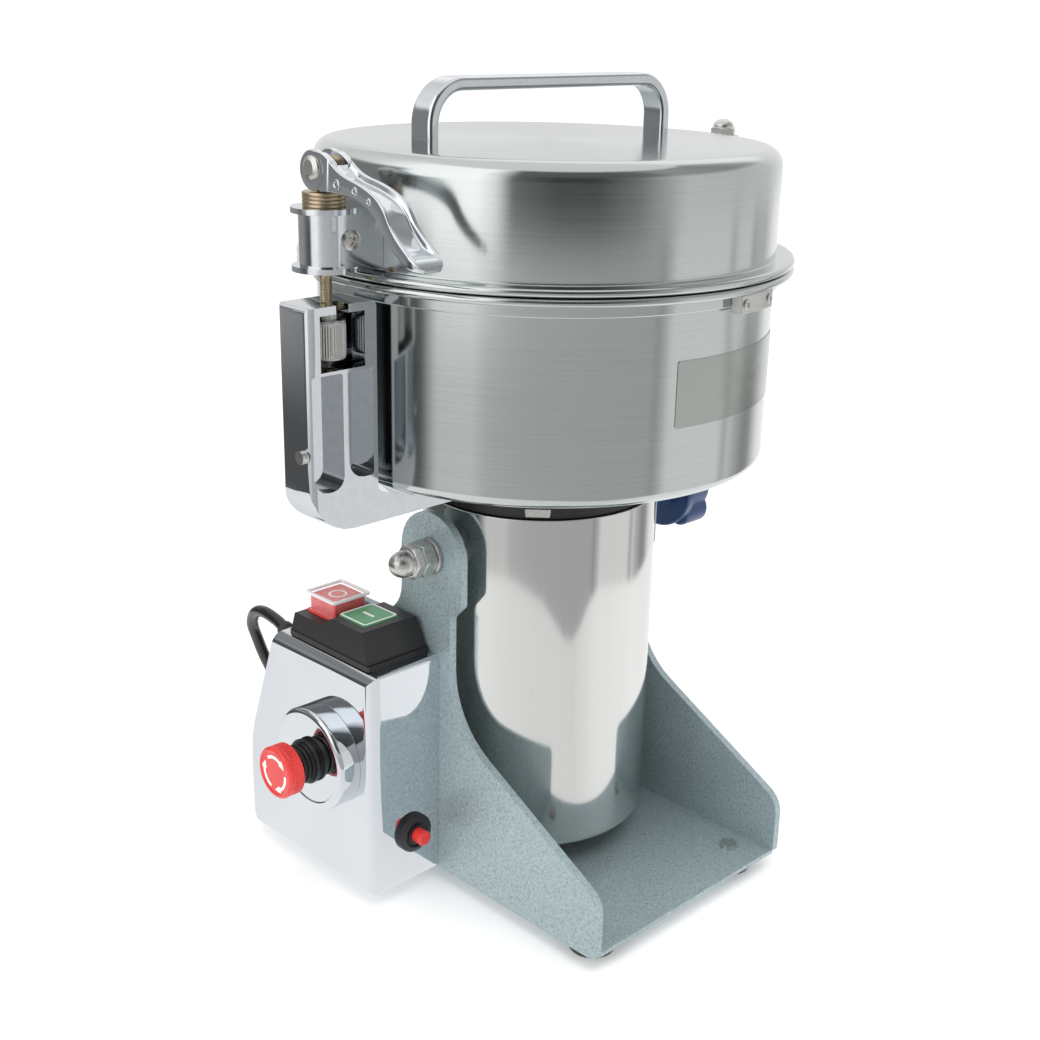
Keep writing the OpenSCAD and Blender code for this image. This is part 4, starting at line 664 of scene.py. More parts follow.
def eased(node, finish, width, shortest=0.9, segments=2, slot=None):
    """Copy of a CAD node with its loose triangles merged, its flat faces whole again and its
    sharp edges longer than shortest rounded by width, so that they catch the light. It
    replaces the node."""
    source = frame["nodes"][node].data
    co = np.zeros(len(source.vertices) * 3, np.float32)
    source.vertices.foreach_get("co", co)
    loops = np.zeros(len(source.loops), np.int32)
    source.loops.foreach_get("vertex_index", loops)
    mesh = bpy.data.meshes.new(node + "_eased")
    mesh.from_pydata(co.reshape(-1, 3).tolist(), [], loops.reshape(-1, 3).tolist())
    clean = bmesh.new()
    clean.from_mesh(mesh)
    bmesh.ops.remove_doubles(clean, verts=clean.verts, dist=1e-6)
    bmesh.ops.dissolve_degenerate(clean, edges=clean.edges, dist=1e-7)
    flat_within = math.radians(0.4)
    bmesh.ops.dissolve_limit(clean, angle_limit=flat_within, verts=clean.verts, edges=clean.edges)
    weight, limit = clean.edges.layers.float.new("bevel_weight_edge"), math.radians(38)
    for edge in clean.edges:
        long_enough = edge.is_manifold and edge.calc_length() > shortest * MM
        if long_enough and abs(edge.calc_face_angle(0.0)) > limit:
            edge[weight] = 1.0
    clean.to_mesh(mesh)
    clean.free()
    made = placed(node + "_eased", mesh, finish, (node,), None, slot, 30)
    bevel = made.modifiers.new("rounded_edges", "BEVEL")
    bevel.limit_method, bevel.width, bevel.segments = "WEIGHT", width * MM, segments
    made.modifiers.new("even_light", "WEIGHTED_NORMAL").keep_sharp = True
    return made


def backdrop(name, r, z, sides, material, inwards=False):
    """Sheet of rings round the origin, r wide and z high in metres, that isn't part of the object."""
    grid = spin(np.stack([r, z], 1), sides)
    quads = grid_faces(*grid.shape[:2], True, False)[:, ::-1 if inwards else 1]
    mesh = bpy.data.meshes.new(name)
    mesh.from_pydata(grid.reshape(-1, 3).tolist(), [], quads.tolist())
    mesh.materials.append(material)
    made = bpy.data.objects.new(name, mesh)
    bpy.context.scene.collection.objects.link(made)
    return made


# ---- Route of the mains lead, the same points as in the part's source

CORD_D = 7.0
GLAND_ANGLE = math.atan2(112 - 8 - 80.5, 141 - 75)  # lean of the box's back
GLAND_DIR = np.array([0, math.cos(GLAND_ANGLE), math.sin(GLAND_ANGLE)])
GLAND = np.array([-98, 80.5 + (141 - 118.8) * math.tan(GLAND_ANGLE), 118.8])
GLAND_LEN = 22.0
CORD_BEND = [
    (-98, 129, 130), (-96, 141, 125), (-93, 149, 115), (-88, 152, 103), (-83, 153, 90),
    (-77, 154, 77), (-71, 154, 64), (-64, 154, 51), (-56, 154, 38), (-46, 153, 26), (-33, 152, 15)
]
COIL_TURNS, COIL_R, COIL_PITCH, COIL_RISE, COIL_LOW = 5, 30.0, 7.7, 7.6, 4.5
COIL_FRONT = 152.0
COIL_X, COIL_Y = 20.0, COIL_FRONT + COIL_R + COIL_PITCH * COIL_TURNS / 2
COIL_IN = math.radians(270)


def cord_points():
    """Centreline of the lead: gland, bend, lead-in, then turns of radius 30 + 7.7·|t| for t from
    -2.5 to 2.5 turns, that climb from the lower layer to the upper one round t = 0."""
    start = GLAND + GLAND_LEN * GLAND_DIR
    end = np.array([COIL_X - 7.0, COIL_FRONT, COIL_LOW])
    lead = np.concatenate([[start, start + CORD_D * GLAND_DIR], CORD_BEND, [end - (14, 0, -0.5), end]])
    t = np.arange(24 * COIL_TURNS + 1) / 24 - COIL_TURNS / 2
    angle, r = COIL_IN + TAU * (t + COIL_TURNS / 2), COIL_R + COIL_PITCH * np.abs(t)
    z = COIL_LOW + COIL_RISE * np.clip(0.5 + 2 * t, 0, 1)
    coil = np.stack([COIL_X + r * np.cos(angle), COIL_Y + r * np.sin(angle), z], 1)
    out = coil[-1] + np.array([[7.0, 0, 0], [21.0, 0, 0]])
    turns = smooth_path(np.concatenate([lead[-1:], coil, out]), 2)
    return np.concatenate([smooth_path(lead, 4)[:-1], turns])


# ---- Painted reflections: a glowing ground and ring wall round the object that light nothing and that only the
# bright metal mirrors. SURROUND_EDGE gives the radius in metres at which the ground's light becomes the
# wall's, and the others a brightness, all at degrees round the object.

SURROUND_R = 0.62
SURROUND_EDGE = [
    (0, 0.55), (85, 0.605), (170, 0.605), (185, 0.60), (200, 0.60), (215, 0.57), (230, 0.53),
    (240, 0.48), (250, 0.43), (258, 0.42), (265, 0.45), (275, 0.52), (284, 0.55), (330, 0.52),
    (360, 0.55),
]
SURROUND_GROUND = [
    (0, 1.1), (90, 0.8), (140, 1.1), (175, 1.1), (200, 1.0), (225, 0.95), (260, 0.93), (280, 1.1),
    (330, 1.2), (360, 1.1),
]
SURROUND_LOW = [
    (0, 1.0), (20, 1.05), (75, 0.9), (90, 0.35), (100, 0.12), (136, 0.10), (168, 0.09), (172, 0.4),
    (176, 0.72), (193, 0.74), (200, 0.58), (212, 0.54), (225, 0.52), (265, 0.50), (274.5, 0.50),
    (276.5, 0.36), (278.5, 0.48), (281, 0.6), (284, 0.87), (317, 0.88), (321, 0.5), (325, 0.8),
    (329, 0.6), (334, 0.48), (340, 0.33), (346, 0.38), (352, 0.7), (358, 0.95), (360, 1.0),
]
SURROUND_MIDDLE = [
    (0, 1.05), (20, 1.05), (75, 0.9), (95, 0.34), (136, 0.34), (160, 0.12), (169, 0.12), (173, 0.6),
    (177, 1.1), (193, 1.2), (200, 0.95), (208, 0.72), (220, 0.60), (250, 0.52), (274.5, 0.50),
    (276.5, 0.38), (278.5, 0.5), (281, 0.65), (284, 0.86), (314, 0.85), (318, 0.5), (321, 0.8),
    (331, 0.84), (335, 0.5), (341, 0.62), (347, 0.58), (353, 0.8), (360, 1.05),
]
SURROUND_HIGH = [
    (0, 0.9), (15, 0.92), (28, 0.86), (62, 0.84), (80, 0.92), (92, 0.9), (105, 0.3), (155, 0.25),
    (163, 1.5), (195, 1.6), (203, 1.2), (210, 0.16), (229, 0.06), (246, 0.07), (264, 0.24),
    (276, 0.5), (288, 0.74), (320, 0.7), (345, 0.75), (360, 0.9),
]
SURROUND_TOP = [
    (0, 1.2), (60, 1.2), (78, 0.8), (95, 0.9), (125, 1.0), (155, 1.5), (195, 1.6), (203, 1.0),
    (211, 0.15), (255, 0.13), (274, 0.2), (288, 0.42), (300, 0.42), (328, 0.35), (347, 0.5),
    (360, 1.2),
]

FRAME_PX, FOCAL_PX, SHIFT_PX = 1040, 1482, (-12.4, 3.6)
CAMERA_AT = (-0.5606, -0.5508, 0.4733)
CAMERA_LOOK, CAMERA_ROLL = (0.670, 0.664, -0.332), math.radians(1.41)
LAMPS_AIM = (0, 0, 0.25)


# ---- Operators, one for each piece or group of like pieces

class GRINDER_OT_stage(bpy.types.Operator):
    """Set up the camera, the pale floor, the soft light and the glowing ring of painted reflections
    that the bright metal mirrors
    """

    bl_idname = "grinder.stage"
    bl_label = "Stage"

    def execute(self, context):
        scene = context.scene
        data = bpy.data.cameras.new("camera")
        data.sensor_width, data.lens = 36.0, 36.0 * FOCAL_PX / FRAME_PX
        data.shift_x, data.shift_y = (shift / FRAME_PX for shift in SHIFT_PX)
        data.clip_start, data.clip_end = 0.01, 100.0
        camera = bpy.data.objects.new("camera", data)
        scene.collection.objects.link(camera)
        forward = np.array(CAMERA_LOOK) / np.linalg.norm(CAMERA_LOOK)
        right = np.cross(forward, Z)
        right /= np.linalg.norm(right)
        up, c, s = np.cross(right, forward), math.cos(CAMERA_ROLL), math.sin(CAMERA_ROLL)
        self.point(camera, right * c + up * s, up * c - right * s, -forward, CAMERA_AT)
        scene.camera = camera
        scene.view_settings.view_transform = "Standard"
        stage = scene.grinder_stage
        scene.world = self.sky(stage.sky)
        self.floor(stage)
        self.surround()
        self.lamps(scene, stage.key)
        return {"FINISHED"}

    def point(self, made, x, y, z, at):
        made.matrix_world = Matrix([(x[k], y[k], z[k], at[k]) for k in range(3)] + [(0, 0, 0, 1)])

    def sky(self, strength):
        """Soft light from all round: brightest just above the horizon, and a little greyer below it."""
        f = Finish("studio", bpy.data.worlds.new("studio"))
        height = f.parts(f.node("TexCoord"))[2].of("MULTIPLY_ADD", 0.5, 0.5)
        grey = f.ramp(height, [(0.0, 0.9), (0.49, 1.06), (0.66, 1.06), (0.80, 1.0), (1.0, 1.0)])
        return f.out("World", f.node("Background", None, {"Color": grey, "Strength": strength}))

    def floor(self, stage):
        """Pale floor: rings of a wide disc whose far edge sweeps up to a low backdrop all round."""
        f = Finish("floor_sheet")
        base = f.mix(f.noise(f.place(), 40), ("floor", 0.99), ("floor", 1))
        sheet = f.done(base, 0.7, Specular_IOR_Level=0, Emission_Color=(1, 1, 1),
                       Emission_Strength=stage.floor_glow)
        backdrop("floor", [0, 0.3, 0.8, 1.6, 3.0, 3.6, 4.2, 4.7, 5.0],
                 [0, 0, 0, 0, 0, 0.12, 0.5, 1.1, 1.8], 96, sheet)

    def surround(self):
        """Painted reflections: ground and ring wall round the object that glow, light nothing and only
        mirrors see. A point's angle picks its brightness from five ramps, for the near ground and four
        parts of the wall, which meet softly between two radii or heights."""
        f = Finish("surround_light")
        x, y, height = f.parts(f.place())
        radius = (x * x + y * y) ** 0.5
        share = (y.of("ARCTAN2", x) / TAU + 1).of("FRACT")
        edge, light, *bands = (
            f.ramp(share, [(degree / 360, value) for degree, value in stops])
            for stops in (SURROUND_EDGE, SURROUND_GROUND, SURROUND_LOW, SURROUND_MIDDLE,
                          SURROUND_HIGH, SURROUND_TOP))
        for band, along, start, end in zip(bands, (radius, height, height, height),
                                           (edge, 0.13, 0.31, 0.60), (edge + 0.012, 0.24, 0.345, 0.72)):
            blend = f.node("MapRange", {"interpolation_type": "SMOOTHSTEP"},
                           {0: along, 1: start, 2: end})
            light = f.mix(blend, light, band)
        # Painted reflection: the ramps' brightness is emission that only mirrors see
        glow = f.done((0, 0, 0), 1, Specular_IOR_Level=0, Emission_Color=light, Emission_Strength=1)
        made = backdrop("surround", [0.01, 0.2, 0.4] + [SURROUND_R] * 6,
                        [0.0004] * 4 + [0.2, 0.4, 0.6, 0.9, 1.3], 128, glow, inwards=True)
        for rays in ("camera", "diffuse", "shadow", "transmission"):
            setattr(made, "visible_" + rays, False)

    def lamps(self, scene, power):
        """Large soft light overhead and a weaker one from the camera's left."""
        for name, place, size, share in (("overhead", (-0.3, -0.5, 1.9), 1.6, 1),
                                         ("side", (-1.7, 0.2, 1.1), 0.9, 0.35)):
            data = bpy.data.lights.new(name, "AREA")
            data.size, data.energy = size, power * share
            lamp = bpy.data.objects.new(name, data)
            lamp.visible_glossy = False
            scene.collection.objects.link(lamp)
            back = np.array(place) - LAMPS_AIM
            self.point(lamp, *axes(back, np.cross(Y, back)), place)


class GRINDER_OT_cord(bpy.types.Operator):
    """Lay the mains lead with its strain relief, coil, tie and plug"""

    bl_idname = "grinder.cord"
    bl_label = "Mains lead"

    def execute(self, context):
        path = cord_points()
        ahead = travel(path)
        side = np.cross(ahead, Z)
        side[np.linalg.norm(side, axis=1) < 1e-3] = X
        side /= np.linalg.norm(side, axis=1, keepdims=True)
        ring = CORD_D / 2 * circle(context.scene.grinder_details.cord_sides)
        cord = piece("mains_lead", [carried(ring, path, side, np.cross(side, ahead))], "cord_jacket",
                     ("mains_cord", "cord_coil"), sharp=60)
        self.relief()
        plug, pins, tie = self.plug(path[-1]), self.pins(path[-1]), self.tie()
        return {"FINISHED"}

    def relief(self):
        """Tapered strain relief: collar on the box, then a cone r(z) = 7.6 - 0.135·z with grooves
        cut by a sine."""
        z = np.linspace(2.6, GLAND_LEN - 0.4, 60)
        groove = np.clip(np.sin((z - 3) / 4.6 * TAU), 0, 1) ** 0.6
        groove *= np.clip((z - 3) / 2, 0, 1) * np.clip((20 - z) / 2, 0, 1)
        collar = rounded([(0, -4.4), (9.5, -4.4), (9.5, -1.6), (6.5, -1.6), (6.5, 0), (9.5, 0),
                          (9.5, 2.5, 1.0), (7.3, 2.5)])
        cone = np.stack([7.6 - 0.135 * z - 0.9 * groove, z], 1)
        section = np.concatenate([collar, cone, [(4.7, GLAND_LEN), (0, GLAND_LEN)]])
        piece("strain_relief", [turned(section, 64, GLAND_DIR, GLAND, ring=False)], "black_rubber",
              ("cord_gland",))

    def plug(self, start):
        """Moulded plug: stations along X, each a superellipse |y/a|^n + |z/b|^n = 1 whose half
        sizes and power change from the round relief to the flat grip and the round face."""
        x, a, b, n = np.array([
            (0, 4.5, 4.5, 2), (1, 5, 5, 2), (21, 7.6, 7.6, 2), (23, 8.6, 8.4, 2.2),
            (26, 10.2, 9.6, 2.6), (34, 11.6, 9.9, 2.8), (39, 14.2, 10.8, 2.5), (42.5, 17.6, 11.8, 2.2),
            (44.5, 18.4, 12, 2.2), (46, 18.5, 12.05, 2.2), (57.2, 18.5, 12.05, 2.2),
            (59, 17.6, 11.2, 2.2)]).T
        steps = [np.linspace(p, q, 5, endpoint=False) for p, q in zip(x[:-1], x[1:])]
        along = np.concatenate([*steps, x[-1:]])
        a, b, n = (np.interp(along, x, row)[:, None] for row in (a, b, n))
        rib = 0.5 * np.sin(along / 3.4 * TAU)[:, None] * ((along > 2) & (along < 20))[:, None]
        c, s = circle(56).T
        flat = np.stack([np.sign(c) * np.abs(c) ** (2 / n) * (a + rib),
                         np.sign(s) * np.abs(s) ** (2 / n) * (b + rib)], -1)
        return piece("moulded_plug", [carried(flat, start + along[:, None] * X, Y, Z)],
                     "black_plastic", ("mains_plug",))

    def pins(self, start):
        """Two round plug pins with domed ends."""
        section = rounded([(0, 58), (2.4, 58), (2.4, 78, 2.0), (0, 78)])
        shells = [turned(section, 32, X, start + y * Y, ring=False) for y in (-9.5, 9.5)]
        return piece("plug_pins", shells, "zinc", body="base")

    def tie(self):
        """Strap round the turns: a thin band along a rounded loop."""
        a = COIL_IN + math.radians(120)
        out, aside = np.array([math.cos(a), math.sin(a), 0]), np.array([-math.sin(a), math.cos(a), 0])
        reach = CORD_D / 2 + 0.3
        inner, outer = COIL_R - reach, COIL_R + COIL_PITCH * COIL_TURNS / 2 + reach
        top = COIL_LOW + COIL_RISE + reach

        def loop(grown, foot, low_bend, high_bend):
            return rounded([(inner - grown, foot, low_bend), (outer + grown, foot, low_bend),
                            (outer + grown, top + grown, high_bend),
                            (inner - grown, top + grown, high_bend)], 8)
        tight, wide = loop(0, 0.85, 2.2, 3.2), loop(0.8, 0.05, 3.0, 4.0)
        grid = np.stack([COIL_X * X + COIL_Y * Y + flat[:, :1] * out + s * aside + flat[:, 1:] * Z
                         for flat, s in ((tight, -4.5), (wide, -4.5), (wide, 4.5), (tight, 4.5))])
        return piece("strap_tie", [(grid, True, True)], "black_rubber", ("cord_tie",),
                     slot="black_plastic")


class GRINDER_OT_base(bpy.types.Operator):
    """Paint the sheet base and fit its feet and screws"""

    bl_idname = "grinder.base"
    bl_label = "Base"

    def execute(self, context):
        eased("base_frame", "hammertone", 0.9, shortest=1.5, segments=3)
        foot = rounded([(2.6, 0), (12.3, 0, 1.0), (14.5, 9.4, 0.6), (2.6, 9.4)], 5)
        piece("feet", [turned(foot, 72, Z, (x, y, 0)) for x, y in FEET], "black_rubber",
              ("rubber_feet",))
        heads = [screw_head((x, y, 12.0), Z, 4.8, 2.6, 0.4 + y * 0.01) for x, y in FEET]
        heads += [screw_head((-73.1, y, z), X, 3.8, 2.2, y * 0.1)
                  for y, z in ((7.7, 22.0), (86.0, 24.0), (7.7, 129.0), (66.5, 129.0))]
        piece("floor_screws", heads, "zinc", body="base")
        dress("zinc", "frame_screws")
        return {"FINISHED"}


class GRINDER_OT_control_box(bpy.types.Operator):
    """Chrome the control box and round its edges"""

    bl_idname = "grinder.control_box"
    bl_label = "Control box"

    def execute(self, context):
        eased("control_box", "chrome", 0.5, shortest=2.0, segments=3)
        dress("black_plastic", "contact_blocks")
        return {"FINISHED"}


class GRINDER_OT_switch(bpy.types.Operator):
    """Start and stop switch: housing, the two buttons with their marks and the clear cap"""

    bl_idname = "grinder.switch"
    bl_label = "Switch"

    def execute(self, context):
        eased("switch_housing", "black_plastic", 0.7, shortest=1.2)
        eased("start_button", "green_plastic", 0.7, shortest=0.5)
        eased("stop_button", "red_plastic", 0.6, shortest=0.5)
        eased("stop_cap", "clear_plastic", 0.6, shortest=0.5)
        start, stop = np.array([SWITCH_X, 28.5]), np.array([SWITCH_X, 55.2])
        line = [self.rectangle(start, 22.8 - 2 * width, 21.8 - 2 * width, radius)
                for width, radius in ((0, 2.0), (1.1, 1.2))]
        piece("start_frame", [ring_between(*line, 160.45, 160.58)], "legend_white", body="start_button")
        # Painted highlight: a pale ring along the clear cap's edge
        edge = [self.rectangle(stop, 25.5 - 2 * inset, 26.0 - 2 * inset, 1.6) for inset in (-0.03, 1.5)]
        piece("cap_edge", [ring_between(*edge, 164.6, 166.03)], "clear_edge", body="stop_button")
        bar = self.rectangle(start, 1.8, 9.0, 0.4)
        piece("start_mark", [plate(bar, 160.45, 160.58)], "legend_white", body="start_button")
        mark = [stop + radius * circle(64) for radius in (5.2, 4.0)]
        piece("stop_mark", [ring_between(*mark, 164.25, 164.38)], "legend_white", body="stop_button")
        return {"FINISHED"}

    def rectangle(self, middle, width, length, radius):
        """Rounded rectangle round a button's middle."""
        half = np.array([width, length]) / 2
        return box(*(middle - half), *(middle + half), radius)


class GRINDER_OT_emergency_stop(bpy.types.Operator):
    """Emergency stop: chrome cup, ribbed neck, ribbed red head and its three turn arrows"""

    bl_idname = "grinder.emergency_stop"
    bl_label = "Emergency stop"

    def execute(self, context):
        seat = (-124.9, STOP_Y, STOP_Z)
        cup = rounded([(11.1, 11.1), (27, 11.1, 1.5), (27, 0), (29, 0, 0.3), (29, 13.1, 3.0),
                       (24.5, 13.1, 0.4), (23.8, 12.5, 0.4), (11.1, 12.5)], 8)
        piece("stop_cup", [turned(cup, 144, -X, seat)], "chrome", ("estop_collar",), sharp=40)
        along = np.linspace(16.4, 27.2, 66)
        rib = 0.55 * np.clip(np.sin(along / 2.7 * TAU) * 3, -1, 1)
        lip = rounded([(12.5, 13.1, 0.3), (12.5, 15.8, 0.5), (10.9, 15.8, 0.2)], 4)
        neck = np.concatenate([[(6.08, -13.0), (11, -13.0), (11, 13.1)], lip,
                               np.stack([10.4 + rib, along], 1), [(11, 27.6), (6.08, 27.6)]])
        nut = joined(96, [(11.0, -5.5)], hex_rows(25.0, -5.5, -1.5, 96), [(11.0, -1.5)])
        piece("stop_neck", [turned(neck, 96, -X, seat), turned(nut, 96, -X, seat)], "black_plastic",
              ("estop_neck",), sharp=50)
        dress("black_plastic", "estop_stem")
        front = np.array([-160.0, STOP_Y, STOP_Z])
        self.head(context.scene.grinder_details.head_ribs, front)
        self.arrows(front)
        return {"FINISHED"}

    def head(self, ribs, front):
        """Mushroom head: z runs out from the front face. The grip's radius is 14.3 less 0.55 of a
        rounded square wave of its angle, behind a plain front lip, and the face is a shallow dish."""
        sides = ribs * 8
        wave = np.clip(np.cos(angles(sides)[:, None] * ribs) * 2.2, -1, 1)
        r, z = np.array([
            (12.0, -10.0), (13.5, -10.0), (14.0, -9.8), (14.3, -9.4), (14.3, -9.0), (14.3, -4.2),
            (14.3, -3.8), (13.9, -3.3), (13.9, -3.1), (14.35, -2.7), (14.5, -2.2), (14.5, -1.7),
            (14.3, -1.0), (13.9, -0.45), (13.3, -0.1), (12.7, 0.0), (12.2, -0.1)]).T
        rim = paired(r - 0.55 * (1 - wave) / 2 * ((z > -9.2) & (z < -4.0)), z)
        face = [(11.8, -0.35), (11.3, -0.55), (10.8, -0.6), (6.0, -0.45), (0.0, -0.4)]
        back = [(0.0, -1.4), (6.0, -1.4), (6.08, -3.0), (12.0, -3.0)]
        piece("stop_head", [turned(joined(sides, rim, face, back), sides, -X, front)], "red_plastic",
              ("estop_head",), sharp=42)

    def arrows(self, front):
        """Three arcs of 98 degrees, 0.85 to both sides of radius 9.2, that end in a pointed head."""
        shells, steps = [], 48
        step = np.arange(steps)
        for start in (38, -82, 158):
            turn = math.radians(start) - np.linspace(0, math.radians(98), steps)
            half = np.where(step < 34, 0.85, 2.0 * (1 - (step - 34) / 13.6).clip(0.02, 1))
            rows = [(9.2 - half, -0.62), (9.2 + half, -0.62), (9.2 + half, -0.3), (9.2 - half, -0.3)]
            arc = np.stack([np.stack([r * np.cos(turn), r * np.sin(turn), np.full(steps, h)], 1)
                            for r, h in rows], 1)
            shells.append((capped(arc) @ axes(-X) + front, False, True))
        piece("stop_arrows", shells, "legend_white", body="estop_head")


class GRINDER_OT_reset(bpy.types.Operator):
    """Overload reset: black bezel with a lip, and the red push button"""

    bl_idname = "grinder.reset"
    bl_label = "Overload reset"

    def execute(self, context):
        x, z = -96.9, 40.3
        bezel = rounded([(4.25, -26), (9, -26, 0.5), (9, 0), (11, 0), (11, 3.2, 1.4), (7.6, 4.1, 0.8),
                         (6.9, 3.0, 0.5), (5.75, 3.0), (5.75, 4.2, 0.3), (4.25, 4.2)])
        piece("reset_bezel", [turned(bezel, 96, -Y, (x, -4.3, z))], "black_plastic", ("breaker",),
              sharp=40)
        button = rounded([(0, 0), (4.2, 0), (4.2, 17.0, 1.0), (0, 17.2)])
        piece("reset_push", [turned(button, 64, -Y, (x, 2.0, z), ring=False)], "red_plastic",
              ("reset_button",), sharp=40)
        return {"FINISHED"}


class GRINDER_OT_motor(bpy.types.Operator):
    """Motor: polished tube, its cover, the black adapter and the pieces inside"""

    bl_idname = "grinder.motor"
    bl_label = "Motor"

    def execute(self, context):
        tube = rounded([(56, 26, 0.4), (MOTOR_R, 26, 6), (MOTOR_R, 221, 0.5), (62.5, 221, 0.5),
                        (62.5, 28.5, 3.5), (56, 28.5, 0.4)], 12)
        piece("motor_tube", [turned(tube, 256)], "polished_steel", ("motor_housing",), sharp=40)
        dress("black_paint", "motor_base")
        dress("lamination", "field_core", "armature")
        dress("copper", "field_coils", "commutator")
        dress("brass", "brush_holders")
        dress("zinc", "bearings")
        dress("black_rubber", "shaft_seal")
        dress("blade_steel", "motor_shaft")
        dress("black_plastic", "cooling_fan")
        eased("motor_flange", "black_paint", 0.6)
        tab = rounded([(-6.4, 0, 0.4), (6.4, 0, 0.4), (6.8, 4.4, 0.4), (-6.8, 4.4, 0.4)])
        a = math.radians(-136)
        out, aside = np.array([math.cos(a), math.sin(a), 0]), np.array([-math.sin(a), math.cos(a), 0])

        def lift(flat, d):
            return out * (62.5 + d) + flat[:, :1] * aside + (flat[:, 1:] + 222.5) * Z
        piece("flange_tab", [plate(tab, 0.0, 1.3, lift, 0.3)], "zinc", body="head")
        return {"FINISHED"}


class GRINDER_OT_pivots(bpy.types.Operator):
    """Tilt pivots: bosses, washers, hex nut, domed nut and the star knob"""

    bl_idname = "grinder.pivots"
    bl_label = "Pivots"

    def execute(self, context):
        eased("trunnions", "polished_steel", 0.8, slot="zinc")
        washer = rounded([(6.1, 0), (10, 0, 0.4), (10, 2.05, 0.4), (6.1, 2.05)], 3)
        piece("flat_washers", [turned(washer, 72, side * X, (side * 77.9, PIVOT_Y, PIVOT_Z))
                               for side in (-1, 1)], "zinc", ("pivot_washers",),
              body="base")
        self.nuts()
        self.knob()
        return {"FINISHED"}

    def nuts(self):
        """Hex nut, and domed nut whose dome is the quarter of an ellipse over a short neck."""
        nut = joined(120, [(6.1, 0.0)], hex_rows(17.0, 0.0, 8.0, 120), [(6.1, 8.0)])
        cap = joined(120, [(0, 8.2), (6.1, 8.2), (6.1, 0)], hex_rows(17.0, 0.0, 5.5, 120),
                     [(7.2, 5.6), (6.7, 6.2), (6.7, 7.4), (7.2, 8.0)], dome(7.2, 8.4, 8.1, 16))
        piece("pivot_nuts_turned", [turned(nut, 120, -X, (-80.0, PIVOT_Y, PIVOT_Z)),
                                    turned(cap, 120, -X, (-88.1, PIVOT_Y, PIVOT_Z), ring=False)],
              "zinc", ("pivot_nuts",), sharp=30)

    def knob(self):
        """Star knob: radius at an angle is the smooth largest of a waist circle and five lobe circles,
        less an inset that rounds both edges."""
        sides, waist, lobe_at, lobe_r, sharpness = 240, 21, 19.5, 8.5, 2.2
        outlines = [np.full(sides, float(waist))]
        for k in range(5):
            away = angles(sides) - (TAU * k / 5 + math.pi / 2)
            inside = lobe_r ** 2 - (lobe_at * np.sin(away)) ** 2
            lobe = lobe_at * np.cos(away) + np.sqrt(np.maximum(inside, 0))
            outlines.append(np.where((inside > 0) & (np.cos(away) > 0), lobe, 0))
        peak = sum(np.exp(sharpness * (r - waist)) for r in outlines)
        star = np.minimum(np.log(peak) / sharpness + waist - 0.2, 28.0)
        rows = [(6.06, 0), (11.4, 0), (12, 0.6), (12, 25.6), (12.4, 26), (24.2, 26), (25, 26.8),
                (25, 31.4), (24.6, 31.9)]
        turn = np.linspace(0, math.pi / 2, 7)
        rows += [(star - 2.2 * (1 - np.sin(t)), 32 + 2.2 * (1 - np.cos(t))) for t in turn]
        rows += [(star - 2.8 * (1 - np.cos(t)), 52 - 2.8 * (1 - np.sin(t))) for t in turn]
        rows += [(15, 52), (14.2, 51.4), (0, 51.2), (0, 21.6), (6.06, 21.6)]
        grid = np.stack([np.column_stack([np.broadcast_to(r, sides), np.full(sides, float(h))])
                         for r, h in rows], 1)
        piece("star_knob", [turned(grid, sides, X, (80.3, PIVOT_Y, PIVOT_Z), Y)], "blue_plastic",
              ("tilt_knob",), sharp=40)


class GRINDER_OT_bowl(bpy.types.Operator):
    """Bowl: brushed wall, band and rolled bead, with the small plate, the bare label and the blades"""

    bl_idname = "grinder.bowl"
    bl_label = "Bowl"

    def execute(self, context):
        wall = rounded([(14.1, 245), (BOWL_R, 245, 6), (BOWL_R, 338, 0.2), (122.5, 338, 1),
                        (122.5, 344.3, 0.2), (BEAD_R, 344.3, 1.95), (BEAD_R, 348.3, 1.95),
                        (118, 348.3, 0.3), (118, 249, 5), (14.1, 249)], 10)
        piece("bowl_shell", [turned(wall, 320)], "brushed_steel", ("bowl",), sharp=40)
        eased("rim_block", "zinc", 0.4)
        heads = []
        for off in (-0.085, 0.085):
            a = math.radians(-82) + off
            out = np.array([math.cos(a), math.sin(a), 0])
            heads.append(screw_head(out * 128.4 + 339.8 * Z, out, 2.6, 1.2, off * 9))
        piece("rim_screws", heads, "zinc", body="head")
        self.label()
        for node in ("lower_blade", "upper_blade"):
            eased(node, "blade_steel", 0.5)
        dress("blade_steel", "blade_spacers")
        nut = joined(96, [(0, 6.2), (6.1, 6.2), (6.1, 0)], hex_rows(19.0, 0.0, 10.0, 96),
                     dome(8.8, 10.0, 5.0))
        piece("blade_cap_nut", [turned(nut, 96, Z, (0, 0, 279.0), ring=False)], "blade_steel",
              ("blade_nut",), sharp=30)
        return {"FINISHED"}

    def label(self):
        """Bare plate bent round the wall: outline points (arc, height) become angle arc / 120 and
        radius 120 + d."""
        low, high = math.radians(-103.4) * BOWL_R, math.radians(-55) * BOWL_R
        outline, middle = dense(box(low, 282.2, high, 315.2, 1.5), 3.0), ((low + high) / 2, 298.7)
        flats = [(outline - middle) * share + middle for share in (1.0, 0.8, 0.6, 0.4, 0.2, 0.0)]

        def lift(flat, d):
            arc = flat[:, 0] / BOWL_R
            return np.column_stack([(BOWL_R + d) * np.cos(arc), (BOWL_R + d) * np.sin(arc), flat[:, 1]])
        rows = [lift(flat, 0.05) for flat in flats[::-1]] + [lift(flat, 0.35) for flat in flats]
        piece("label_plate", [(np.stack(rows), False, True)], "label_foil", body="head")


